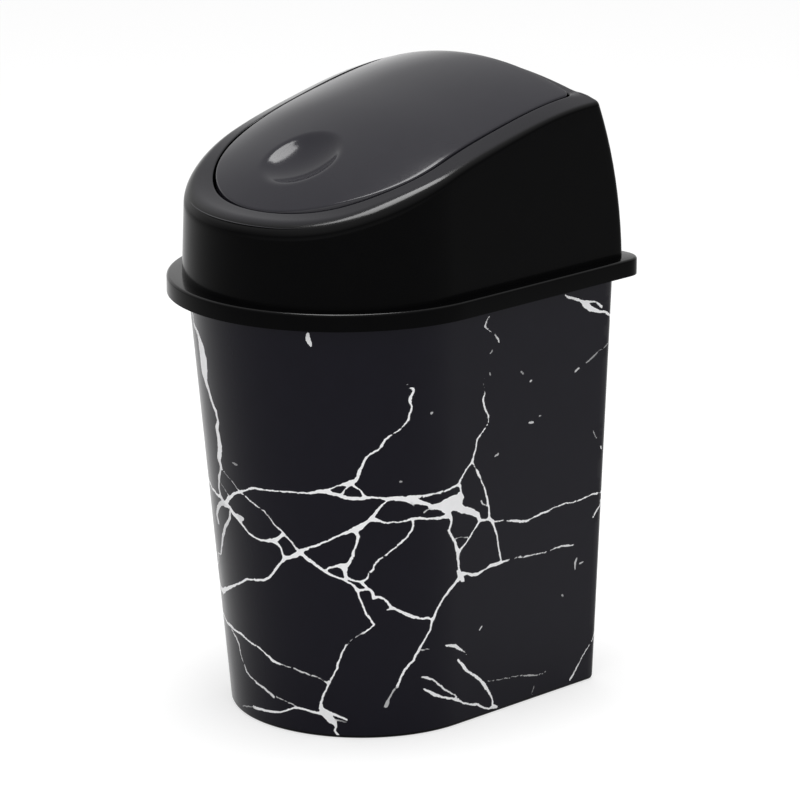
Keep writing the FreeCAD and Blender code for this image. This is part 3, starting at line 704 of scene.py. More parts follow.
class Recipe:
    """A Geometry Nodes tree that is built node by node and then run on a mesh."""

    def __init__(self, name: str) -> None:
        """Begin an empty tree.

        Args:
            name: The tree's name.
        """
        self.tree = bpy.data.node_groups.new(name, "GeometryNodeTree")
        for way in ("INPUT", "OUTPUT"):
            self.tree.interface.new_socket("Geometry", in_out=way, socket_type="NodeSocketGeometry")
        self.inlet = self.tree.nodes.new("NodeGroupInput")
        self.sizes: dict[str, float] = {}

    def given(self) -> bpy.types.NodeSocket:
        """The mesh that the tree is run on."""
        return self.inlet.outputs["Geometry"]

    def size(self, name: str, value: float) -> bpy.types.NodeSocket:
        """Add a named size to the tree's inputs.

        Args:
            name: The input's name.
            value: The size to run the tree with.

        Returns:
            The socket that carries the size.
        """
        socket = self.tree.interface.new_socket(name, in_out="INPUT", socket_type="NodeSocketFloat")
        self.sizes[socket.identifier] = value
        return self.inlet.outputs[name]

    def add(self, kind: str, feeds: dict[str | int, object], **options: object) -> bpy.types.NodeSocket:
        """Add a node to this tree, as add_node does."""
        return add_node(self.tree, kind, feeds, **options)

    def rod(self, length: bpy.types.NodeSocket, radius: bpy.types.NodeSocket) -> bpy.types.NodeSocket:
        """Add a round rod along X from the origin.

        Args:
            length: The rod's length.
            radius: Its radius.

        Returns:
            The socket that carries the rod.
        """
        upright = self.add("GeometryNodeMeshCylinder",
                           {"Vertices": ROD_SIDES, "Radius": radius, "Depth": length})
        half = self.add("ShaderNodeMath", {0: length, 1: 0.5}, operation="MULTIPLY")
        shift = self.add("ShaderNodeCombineXYZ", {"X": half})
        return self.add("GeometryNodeTransform",
                        {"Geometry": upright, "Translation": shift, "Rotation": LYING})

    def both_sides(self, shape: bpy.types.NodeSocket, points: bpy.types.NodeSocket) -> bpy.types.NodeSocket:
        """Set a shape on the first point and, turned half round, on the second.

        Args:
            shape: The shape, as it stands on the first point.
            points: The two points.

        Returns:
            The socket that carries both.
        """
        index = self.add("GeometryNodeInputIndex", {})
        turn = self.add("ShaderNodeMath", {0: index, 1: math.pi}, operation="MULTIPLY")
        turned = self.add("ShaderNodeCombineXYZ", {"Z": turn})
        return self.add("GeometryNodeInstanceOnPoints",
                        {"Points": points, "Instance": shape, "Rotation": turned})

    def run(self, shape: bpy.types.NodeSocket, mesh: bpy.types.Mesh, finish: Plastic) -> bpy.types.Mesh:
        """Run the tree on a mesh.

        Args:
            shape: The socket that carries the finished shape.
            mesh: The mesh to run it on.
            finish: The finish to set.

        Returns:
            The mesh that comes out.
        """
        real = self.add("GeometryNodeRealizeInstances", {"Geometry": shape})
        dressed = self.add("GeometryNodeSetMaterial", {"Geometry": real, "Material": finish.material()})
        self.tree.links.new(dressed, self.tree.nodes.new("NodeGroupOutput").inputs["Geometry"])
        carrier = bpy.data.objects.new(self.tree.name, mesh)
        bpy.context.scene.collection.objects.link(carrier)
        modifier = carrier.modifiers.new(self.tree.name, "NODES")
        modifier.node_group = self.tree
        for identifier, value in self.sizes.items():
            modifier[identifier] = value
        result = bpy.data.meshes.new_from_object(carrier.evaluated_get(bpy.context.evaluated_depsgraph_get()))
        carrier.modifiers.remove(modifier)
        bpy.data.objects.remove(carrier)
        result.materials.clear()
        result.materials.append(finish.material())
        result.polygons.foreach_set("material_index", np.zeros(len(result.polygons), np.int32))
        return result


def points_mesh(name: str, places: np.ndarray, joined: bool = False) -> bpy.types.Mesh:
    """A mesh of points, joined in a line if asked.

    Args:
        name: The mesh's name.
        places: The points.
        joined: Whether edges join each point to the next.

    Returns:
        The mesh.
    """
    mesh = bpy.data.meshes.new(name)
    edges = [(k, k + 1) for k in range(len(places) - 1)] if joined else []
    mesh.from_pydata(places.tolist(), edges, [])
    return mesh


@dataclass(frozen=True)
class Pivots:
    """The hood's bosses, the flap's pins and the ledge that the flap's rear edge rests on."""

    pin_radius: float = 2.5 * MM
    pin_clearance: float = 0.08 * MM
    flap_boss: float = 6.0 * MM
    flap_wall: float = 2.0 * MM
    hood_boss: float = 6.5 * MM
    hood_boss_width: float = 3.0 * MM
    boss_edge: float = 0.4 * MM
    boss_edge_steps: int = 3
    rest_width: float = 4.0 * MM
    rest_thickness: float = 1.8 * MM
    rest_drop: float = 8.3 * MM
    rest_reach: float = 16.0 * MM
    rest_root: float = 0.9 * MM

    def seats(self, x: float) -> np.ndarray:
        """A place on each end of the pivot axis."""
        return np.array([(x, PIVOT_Y, PIVOT_Z), (-x, PIVOT_Y, PIVOT_Z)])

    def drill(self, hood: bpy.types.Mesh) -> bpy.types.Mesh:
        """Drill the pins' holes through the hood's collar.

        Args:
            hood: The hood's mesh.

        Returns:
            The drilled mesh.
        """
        recipe = Recipe("pin_holes")
        length = recipe.size("Hole length", 2 * OPENING_HALF_WIDTH + 4 * self.hood_boss_width)
        radius = recipe.size("Hole radius", self.pin_radius + self.pin_clearance)
        rod = recipe.rod(length, radius)
        axis = (-OPENING_HALF_WIDTH - 2 * self.hood_boss_width, PIVOT_Y, PIVOT_Z)
        drill = recipe.add("GeometryNodeTransform", {"Geometry": rod, "Translation": axis})
        shape = recipe.add("GeometryNodeMeshBoolean", {"Mesh 1": recipe.given(), "Mesh 2": drill},
                           operation="DIFFERENCE", solver="MANIFOLD")
        return recipe.run(shape, hood, LID_GLOSS)

    def rounded_bar(self, recipe: Recipe, width: bpy.types.NodeSocket,
                    height: bpy.types.NodeSocket) -> bpy.types.NodeSocket:
        """Add a rectangle with rounded corners, to be swept along a path.

        Args:
            recipe: The tree to add it to.
            width: The rectangle's width.
            height: Its height.

        Returns:
            The socket that carries the outline.
        """
        square = recipe.add("GeometryNodeCurvePrimitiveQuadrilateral", {"Width": width, "Height": height})
        corners = {"Curve": square, "Radius": self.boss_edge, "Count": self.boss_edge_steps}
        return recipe.add("GeometryNodeFilletCurve", corners, mode="POLY")

    def build_bosses(self) -> bpy.types.Object:
        """Make the ring around each hole: a rounded square swept around a circle, once on each side.

        Returns:
            The piece with both rings.
        """
        recipe = Recipe("hood_bosses")
        outer = recipe.size("Outer radius", self.hood_boss)
        hole = recipe.size("Hole radius", self.pin_radius + self.pin_clearance)
        width = recipe.size("Width", self.hood_boss_width)
        band = recipe.add("ShaderNodeMath", {0: outer, 1: hole}, operation="SUBTRACT")
        total = recipe.add("ShaderNodeMath", {0: outer, 1: hole}, operation="ADD")
        middle = recipe.add("ShaderNodeMath", {0: total, 1: 0.5}, operation="MULTIPLY")
        profile = self.rounded_bar(recipe, band, width)
        circle = recipe.add("GeometryNodeCurvePrimitiveCircle", {"Resolution": ROD_SIDES, "Radius": middle})
        upright = recipe.add("GeometryNodeSetCurveNormal", {"Curve": circle}, mode="Z_UP")
        ring = recipe.add("GeometryNodeCurveToMesh", {"Curve": upright, "Profile Curve": profile})
        turned = recipe.add("GeometryNodeTransform", {"Geometry": ring, "Rotation": LYING})
        shape = recipe.both_sides(turned, recipe.given())
        seats = points_mesh("hood_boss_seats", self.seats(OPENING_HALF_WIDTH + self.hood_boss_width / 2))
        return self.ridden(placed("hood_bosses", recipe.run(shape, seats, LID_GLOSS)), "hood", "lid")

    def build_pins(self) -> bpy.types.Object:
        """Make a pin on a boss on each side of the flap.

        Returns:
            The piece with both pins.
        """
        recipe = Recipe("flap_pins")
        inside = FLAP_HALF_WIDTH - self.flap_wall
        length = recipe.size("Pin length", self.flap_wall + SEAM_GAP + self.hood_boss_width)
        radius = recipe.size("Pin radius", self.pin_radius)
        thickness = recipe.size("Boss width", self.flap_wall)
        boss_radius = recipe.size("Boss radius", self.flap_boss)
        rods = [recipe.rod(length, radius), recipe.rod(thickness, boss_radius)]
        joined = recipe.add("GeometryNodeMeshBoolean", {"Mesh 2": rods[0]}, operation="UNION")
        recipe.tree.links.new(rods[1], joined.node.inputs["Mesh 2"])
        shape = recipe.both_sides(joined, recipe.given())
        seats = points_mesh("flap_pin_seats", self.seats(inside))
        return self.ridden(placed("flap_pins", recipe.run(shape, seats, FLAP_PAINTED_LIT)), "flap", "flap")

    def build_rest(self) -> bpy.types.Object:
        """Make the ledge: a rounded bar swept around the rear of the opening, below the hood's crown.

        Returns:
            The piece.
        """
        inset = SEAM.grown(SEAM_GAP / 2 - (self.rest_width - self.rest_root) / 2)
        places = inset.points()
        rear = places[places[:, 1] > SEAM.rear - self.rest_reach]
        order = np.argsort(np.unwrap(np.arctan2(rear[:, 1] - SEAM.rear + 2 * self.rest_reach, rear[:, 0])))
        rear = rear[order]
        heights = HOOD_CROWN.over(rear) - self.rest_drop - self.rest_thickness / 2
        recipe = Recipe("flap_rest")
        width = recipe.size("Width", self.rest_width + self.rest_root)
        thickness = recipe.size("Thickness", self.rest_thickness)
        profile = self.rounded_bar(recipe, width, thickness)
        path = recipe.add("GeometryNodeMeshToCurve", {"Mesh": recipe.given()})
        upright = recipe.add("GeometryNodeSetCurveNormal", {"Curve": path}, mode="Z_UP")
        shape = recipe.add("GeometryNodeCurveToMesh",
                           {"Curve": upright, "Profile Curve": profile, "Fill Caps": True})
        line = points_mesh("flap_rest_line", np.column_stack([rear, heights]), joined=True)
        return self.ridden(placed("flap_rest", recipe.run(shape, line, LID_GLOSS)), "hood", "lid")

    def ridden(self, piece: bpy.types.Object, node: str, body: str) -> bpy.types.Object:
        """Say which part a piece shows and which body it rides on.

        Args:
            piece: The piece.
            node: The part that it shows.
            body: The body that it rides on.

        Returns:
            The same piece.
        """
        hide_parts(node)
        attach(piece, body)
        return piece

    def build(self) -> list[bpy.types.Object]:
        """Make the bosses, the pins and the ledge."""
        return [self.build_bosses(), self.build_pins(), self.build_rest()]


@dataclass(frozen=True)
class Bucket:
    """Tapered pail with a standing rim below and a turned-down flange around its mouth."""

    wall: float = 2.0 * MM
    floor: float = 2.2 * MM
    foot_height: float = 2.5 * MM
    foot_width: float = 6.0 * MM
    foot_edge: float = 1.2 * MM
    flange: Plan = Plan(81.8 * MM, 102.8 * MM, 102.8 * MM, 9.0 * MM)
    flange_thickness: float = 2.0 * MM
    lip_depth: float = 3.5 * MM
    lip_wall: float = 1.6 * MM
    edge_steps: int = 5

    def build(self) -> list[bpy.types.Object]:
        """Make the pail as one closed skin, from under its floor round the outside to its inside.

        Returns:
            The one piece.
        """
        foot_inside = replace(BASE.grown(-self.foot_width), corner=BASE.corner)
        under = MOUTH_LEVEL - self.flange_thickness
        lip_low = under - self.lip_depth
        lip_inside = self.flange.grown(-self.lip_wall)
        floor_top = self.foot_height + self.floor
        middle = (BASE.rear - BASE.front) / 2
        rings = [np.array([[0.0, middle, self.foot_height]]), foot_inside.ring(self.foot_height),
                 foot_inside.ring(0.0)]
        for sine, cosine in bends(0.0, 90.0, self.edge_steps):
            height = self.foot_edge * (1 - cosine)
            rings.append(bucket_wall(height).grown(-self.foot_edge * (1 - sine)).ring(height))
        rings += [bucket_wall(under).ring(under), lip_inside.ring(under), lip_inside.ring(lip_low),
                  self.flange.ring(lip_low), self.flange.ring(MOUTH_LEVEL),
                  MOUTH.grown(-self.wall).ring(MOUTH_LEVEL),
                  bucket_wall(floor_top).grown(-self.wall).ring(floor_top),
                  np.array([[0.0, middle, floor_top]])]
        piece = skin("bucket_shell", rings, Closure.POLES, BUCKET_BLACK.material())
        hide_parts("bucket")
        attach(piece, "bucket")
        return [piece]


@dataclass(frozen=True)
class VeinInk:
    """Pale ink of the marble print, as light as the mesh's own tone says."""

    name: str = "film_vein_ink"
    dark: Colour = (0.012, 0.012, 0.015, 1.0)
    light: Colour = (0.96, 0.96, 0.97, 1.0)
    roughness: float = 0.32
    specular: float = 0.15
    mottle: float = 260.0
    mottle_low: float = 0.90

    def material(self) -> bpy.types.Material:
        """Build the node material.

        Returns:
            The material.
        """
        material, tree, shader = new_material(self.name)
        shader.inputs["Roughness"].default_value = self.roughness
        shader.inputs["Specular IOR Level"].default_value = self.specular
        place = tree.nodes.new("ShaderNodeTexCoord").outputs["Object"]
        mottle = add_node(tree, "ShaderNodeTexNoise", {"Vector": place, "Scale": self.mottle})
        patchy = ranged(tree, mottle, (0.0, 1.0), (self.mottle_low, 1.0))
        tone = add_node(tree, "ShaderNodeAttribute", {}, attribute_name=TONE).node.outputs["Fac"]
        strength = add_node(tree, "ShaderNodeMath", {0: tone, 1: patchy}, operation="MULTIPLY")
        colour = ramp(tree, strength, [(0.0, self.dark), (1.0, self.light)])
        tree.links.new(colour, shader.inputs["Base Color"])
        return material


@dataclass(frozen=True)
class Vein:
    """One vein of the print: places with widths, and how light it is."""

    places: np.ndarray
    half_widths: np.ndarray
    tone: float

    def near(self, points: np.ndarray, margin: float) -> np.ndarray:
        """Find the points that lie near the vein.

        Args:
            points: The points to search.
            margin: How far from the vein still counts.

        Returns:
            Their numbers.
        """
        low = self.places.min(0) - margin
        high = self.places.max(0) + margin
        return np.flatnonzero(((points > low) & (points < high)).all(1))

    def distance(self, points: np.ndarray) -> np.ndarray:
        """Measure how far points are from the vein's edge.

        Args:
            points: The points.

        Returns:
            One distance per point, below nought inside the vein.
        """
        best = np.full(len(points), np.inf)
        runs = zip(self.places, self.places[1:], self.half_widths, self.half_widths[1:])
        for start, end, first, last in runs:
            along = end - start
            share = np.clip((points - start) @ along / max(along @ along, TINY), 0.0, 1.0)
            gap = np.linalg.norm(points - start - share[:, None] * along, axis=1)
            best = np.minimum(best, gap - first - (last - first) * share)
        return best


@dataclass(frozen=True)
class MarbleFilm:
    """Printed film wrapped around the bucket's wall, its veins cut into the sheet as faces of their own."""

    thickness: float = 0.25 * MM
    foot: float = 1.6 * MM
    top: float = 213.5 * MM
    rows: int = 52
    finer: int = 5
    cell: int = 8
    nearness: float = 0.65
    web: float = 0.35 * MM
    ragged: float = 0.45 * MM
    ragged_size: float = 3.2 * MM
    frayed: float = 0.30 * MM
    frayed_size: float = 0.9 * MM
    reach: float = 6.0 * MM
    pixel: float = 0.49 * MM
    shrink: float = 0.20 * MM
    fill: int = 12
    wander: float = 1.6
    seed: int = 5
    sway_step: float = 0.31
    sway_height: float = 0.13
    steepest: float = 40.0

    def sleeve(self, height: float, out: float) -> np.ndarray:
        """The film's fine outline at a height.

        Args:
            height: The height.
            out: Distance outside the bucket's wall.

        Returns:
            One point per fine step.
        """
        plan = bucket_wall(height).grown(out)
        places = plan.points(outline_shares(self.finer))
        return np.column_stack([places, np.full(len(places), height)])

    def veins(self) -> list[Vein]:
        """Lay the veins on the wall: the photograph's along its sight lines, the others by their places.

        Returns:
            The veins, in the order of the lists.
        """
        low = self.sleeve(self.foot, self.thickness)
        high = self.sleeve(self.top, self.thickness)
        count = len(low)
        corners = np.concatenate([low, high]).tolist()
        faces = [(k, (k + 1) % count, count + (k + 1) % count, count + k) for k in range(count)]
        wall = BVHTree.FromPolygons(corners, faces)
        studio = Studio()
        veins = []
        for tone, route in SEEN_VEINS:
            places = [studio.sighted(wall, x, y) for x, y, _ in route]
            widths = np.array([width for _, _, width in route]) * self.pixel - self.shrink
            veins.append(Vein(np.array(places), widths / 2, tone))
        for tone, route in HIDDEN_VEINS:
            steps, heights, widths = self.drawn_out(np.array(route))
            share = share_between(heights * MM, self.foot, self.top)
            column = np.round(steps * self.finer).astype(int) % count
            places = low[column] + (high[column] - low[column]) * share[:, None]
            veins.append(Vein(places, widths * MM / 2, tone))
        return veins

    def drawn_out(self, route: np.ndarray) -> np.ndarray:
        """Fill in a route between its places, wandering a little to either side.

        Args:
            route: One row per place: step around the outline, height and width in millimetres.

        Returns:
            Steps, heights and widths of the filled-in route.
        """
        knots = np.arange(len(route))
        fine = np.linspace(0, knots[-1], knots[-1] * self.fill + 1)
        steps, heights, widths = (np.interp(fine, knots, column) for column in route.T)
        loose = np.sin(np.pi * (fine % 1.0))
        sway = [noise.noise_vector(Vector((step * self.sway_step, height * self.sway_height, route[0, 0])))
                for step, height in zip(steps, heights)]
        steps = steps + [drift.x * self.wander for drift in sway] * loose
        heights = heights + [drift.y * 2 * self.wander for drift in sway] * loose
        return np.array([steps, heights, widths])

    def warped(self, points: np.ndarray) -> np.ndarray:
        """Move points a little at random, so that the veins run unevenly and their edges fray.

        Args:
            points: Points on the film.

        Returns:
            The moved points.
        """
        moved = points.copy()
        for reach, size in ((self.ragged, self.ragged_size), (self.frayed, self.frayed_size)):
            moved += [noise.noise_vector(Vector(point) / size) * reach for point in points]
        return moved

    def marked(self, points: np.ndarray, veins: list[Vein]) -> tuple[np.ndarray, np.ndarray]:
        """Measure points against all the veins, which run together in webs where they meet.

        Args:
            points: Points on the film.
            veins: The veins.

        Returns:
            The points' distances from the veins' edges, below nought inside, and the tone of the print there.
        """
        moved = self.warped(points)
        total = np.full(len(points), math.exp(-self.reach / self.web))
        shade = total.copy()
        for vein in veins:
            near = vein.near(moved, self.reach)
            depth = vein.distance(moved[near]) / self.web
            pull = np.exp(-np.clip(depth, -self.steepest, self.steepest))
            total[near] += pull
            shade[near] += pull * vein.tone
        return -self.web * np.log(total), shade / total

    def cells(self, spots: "Lattice", veins: list[Vein]) -> np.ndarray:
        """Divide the film into cells, small along the edges of veins.

        Args:
            spots: The film's lattice of places.
            veins: The veins.

        Returns:
            One row per cell: column, row and size in steps of the lattice.
        """
        columns, rows = np.meshgrid(np.arange(0, spots.columns, self.cell),
                                    np.arange(0, spots.rows, self.cell))
        open_cells = np.column_stack([columns.ravel(), rows.ravel()])
        size = self.cell
        done = []
        while size > 1:
            middle = spots.place(open_cells[:, 0] + size // 2, open_cells[:, 1] + size // 2)
            corner = spots.place(open_cells[:, 0], open_cells[:, 1])
            reach = self.nearness * np.linalg.norm(middle - corner, axis=1)
            split = np.abs(self.marked(middle, veins)[0]) < reach
            done.append(np.column_stack([open_cells[~split], np.full((~split).sum(), size)]))
            size //= 2
            near = open_cells[split]
            open_cells = np.concatenate([near + (dx * size, dy * size) for dx in (0, 1) for dy in (0, 1)])
        done.append(np.column_stack([open_cells, np.full(len(open_cells), size)]))
        return np.concatenate(done)

    def build(self) -> list[bpy.types.Object]:
        """Make the film as a thin closed sleeve with its veins as faces of their own.

        Returns:
            The one piece.
        """
        noise.seed_set(self.seed)
        spots = Lattice(self.sleeve(self.foot, self.thickness), self.sleeve(self.top, self.thickness),
                        self.rows * self.cell)
        veins = self.veins()
        sheet = CutSheet(spots, self.cells(spots, veins))
        sheet.cut(*self.marked(sheet.points(), veins))
        sheet.line(self.sleeve(self.foot, 0.0), self.sleeve(self.top, 0.0))
        mesh = sheet.mesh("marble_sleeve")
        piece = placed("marble_sleeve", mesh, FILM_SATIN.material(), VeinInk().material())
        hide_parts("marble_film")
        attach(piece, "bucket")
        return [piece]


@dataclass(frozen=True)
class Lattice:
    """Places on a wall between a lower and an upper ring, by column and row."""

    low: np.ndarray
    high: np.ndarray
    rows: int

    @property
    def columns(self) -> int:
        """Columns around the wall."""
        return len(self.low)

    def place(self, column: np.ndarray, row: np.ndarray) -> np.ndarray:
        """Work out points on the wall.

        Args:
            column: One column per point.
            row: One row per point.

        Returns:
            The points.
        """
        around = np.asarray(column) % self.columns
        share = (np.asarray(row) / self.rows)[:, None]
        return self.low[around] + (self.high[around] - self.low[around]) * share


class CutSheet:
    """A sheet of triangles over a lattice, cut along the edges of what is printed on it."""

    def __init__(self, spots: Lattice, cells: np.ndarray) -> None:
        """Lay triangles over the cells.

        Args:
            spots: The lattice of places.
            cells: One row per cell: column, row and size.
        """
        self.spots = spots
        self.number: dict[tuple[int, int], int] = {}
        self.keys: list[tuple[int, int]] = []
        self.plain: list[tuple[int, ...]] = []
        self.printed: list[tuple[int, ...]] = []
        self.lining: list[tuple[int, ...]] = []
        self.extra: list[np.ndarray] = []
        self.tones: np.ndarray = np.zeros(0)
        self.middles: dict[tuple[int, int], int] = {}
        used = set()
        for column, row, size in cells.tolist():
            used.update(((column + dx) % spots.columns, row + dy) for dx in (0, size) for dy in (0, size))
        border = sorted({column for column, row in used if row in (0, spots.rows)})
        self.border = border
        used.update((column, row) for column in border for row in (0, spots.rows))
        self.triangles = [triangle for cell in cells.tolist()
                          for triangle in self.cell_triangles(used, *cell)]

    def at(self, column: int, row: int) -> int:
        """Look up the point at a place of the lattice, or add it if it isn't there yet.

        Args:
            column: The place's column.
            row: Its row.

        Returns:
            The point's number.
        """
        key = (column % self.spots.columns, row)
        if key not in self.number:
            self.number[key] = len(self.keys)
            self.keys.append(key)
        return self.number[key]

    def cell_triangles(self, used: set, column: int, row: int, size: int) -> list[tuple[int, int, int]]:
        """Triangles of one cell, which meet every point that its neighbours put on its border.

        Args:
            used: Places of the lattice that are corners of cells.
            column: The cell's first column.
            row: The cell's first row.
            size: Its size in steps.

        Returns:
            The triangles, anticlockwise from outside.
        """
        rim = [(column + k, row) for k in range(size)]
        rim += [(column + size, row + k) for k in range(size)]
        rim += [(column + size - k, row + size) for k in range(size)]
        rim += [(column, row + size - k) for k in range(size)]
        corners = [self.at(*key) for key in rim if (key[0] % self.spots.columns, key[1]) in used]
        if len(corners) == 4:
            return [(corners[0], corners[1], corners[2]), (corners[0], corners[2], corners[3])]
        middle = self.at(column + size // 2, row + size // 2)
        return [(middle, first, second) for first, second in zip(corners, corners[1:] + corners[:1])]

    def points(self) -> np.ndarray:
        """The sheet's points on the lattice."""
        keys = np.array(self.keys)
        return self.spots.place(keys[:, 0], keys[:, 1])

    def cut(self, depth: np.ndarray, tones: np.ndarray) -> None:
        """Cut the triangles where the depth is nought.

        Args:
            depth: One value per point, below nought on the print.
            tones: The print's tone at each point.
        """
        places = self.points()
        new_tones: list[float] = []

        def crossing(inside: int, outside: int) -> int:
            """Look up the point where an edge is cut, or add it.

            Args:
                inside: The end on the print.
                outside: The end beside it.

            Returns:
                The point's number.
            """
            key = (min(inside, outside), max(inside, outside))
            if key not in self.middles:
                share = depth[inside] / (depth[inside] - depth[outside])
                self.middles[key] = len(places) + len(self.extra)
                self.extra.append(places[inside] + (places[outside] - places[inside]) * share)
                new_tones.append(tones[inside])
            return self.middles[key]

        for corners in self.triangles:
            within = [depth[corner] < 0.0 for corner in corners]
            if all(within) or not any(within):
                (self.printed if within[0] else self.plain).append(corners)
                continue
            lone = within.index(sum(within) == 1)
            a, b, c = corners[lone], corners[lone - 2], corners[lone - 1]
            if within[lone]:
                ab, ac = crossing(a, b), crossing(a, c)
            else:
                ab, ac = crossing(b, a), crossing(c, a)
            tip, rest = (self.printed, self.plain) if within[lone] else (self.plain, self.printed)
            tip.append((a, ab, ac))
            rest.append((ab, b, c, ac))
        self.tones = np.concatenate([tones, new_tones])

    def line(self, low: np.ndarray, high: np.ndarray) -> None:
        """Close the sheet with a lining: its inner face and its two edges.

        Args:
            low: The inner face's lower outline, one point per column.
            high: Its upper outline.
        """
        first = len(self.keys) + len(self.extra)
        count = len(self.border)
        self.extra.extend(low[self.border])
        self.extra.extend(high[self.border])
        for k in range(count):
            ahead = (k + 1) % count
            inner_low, inner_low_ahead = first + k, first + ahead
            inner_high, inner_high_ahead = first + count + k, first + count + ahead
            self.lining.append((inner_low, inner_high, inner_high_ahead, inner_low_ahead))
            edges = ((0, inner_low, inner_low_ahead), (self.spots.rows, inner_high, inner_high_ahead))
            for row, here, there in edges:
                start = self.at(self.border[k], row)
                end = self.at(self.border[ahead], row)
                between = self.middles.get((min(start, end), max(start, end)))
                edge = (start, end) if between is None else (start, between, end)
                self.lining.append((here, there, *edge[::-1]) if row == 0 else (*edge, there, here))

    def mesh(self, name: str) -> bpy.types.Mesh:
        """Finish the sheet.

        Args:
            name: The mesh's name.

        Returns:
            The mesh: film in the first slot, print in the second, the tone as an attribute.
        """
        mesh = bpy.data.meshes.new(name)
        places = np.concatenate([self.points(), np.array(self.extra)])
        faces = self.plain + self.lining + self.printed
        mesh.from_pydata(places.tolist(), [], faces)
        slots = np.zeros(len(faces), np.int32)
        slots[len(self.plain) + len(self.lining):] = 1
        mesh.polygons.foreach_set("material_index", slots)
        tone = mesh.attributes.new(TONE, "FLOAT", "POINT")
        values = np.zeros(len(places), np.float32)
        values[:len(self.tones)] = self.tones
        tone.data.foreach_set("value", values)
        return mesh


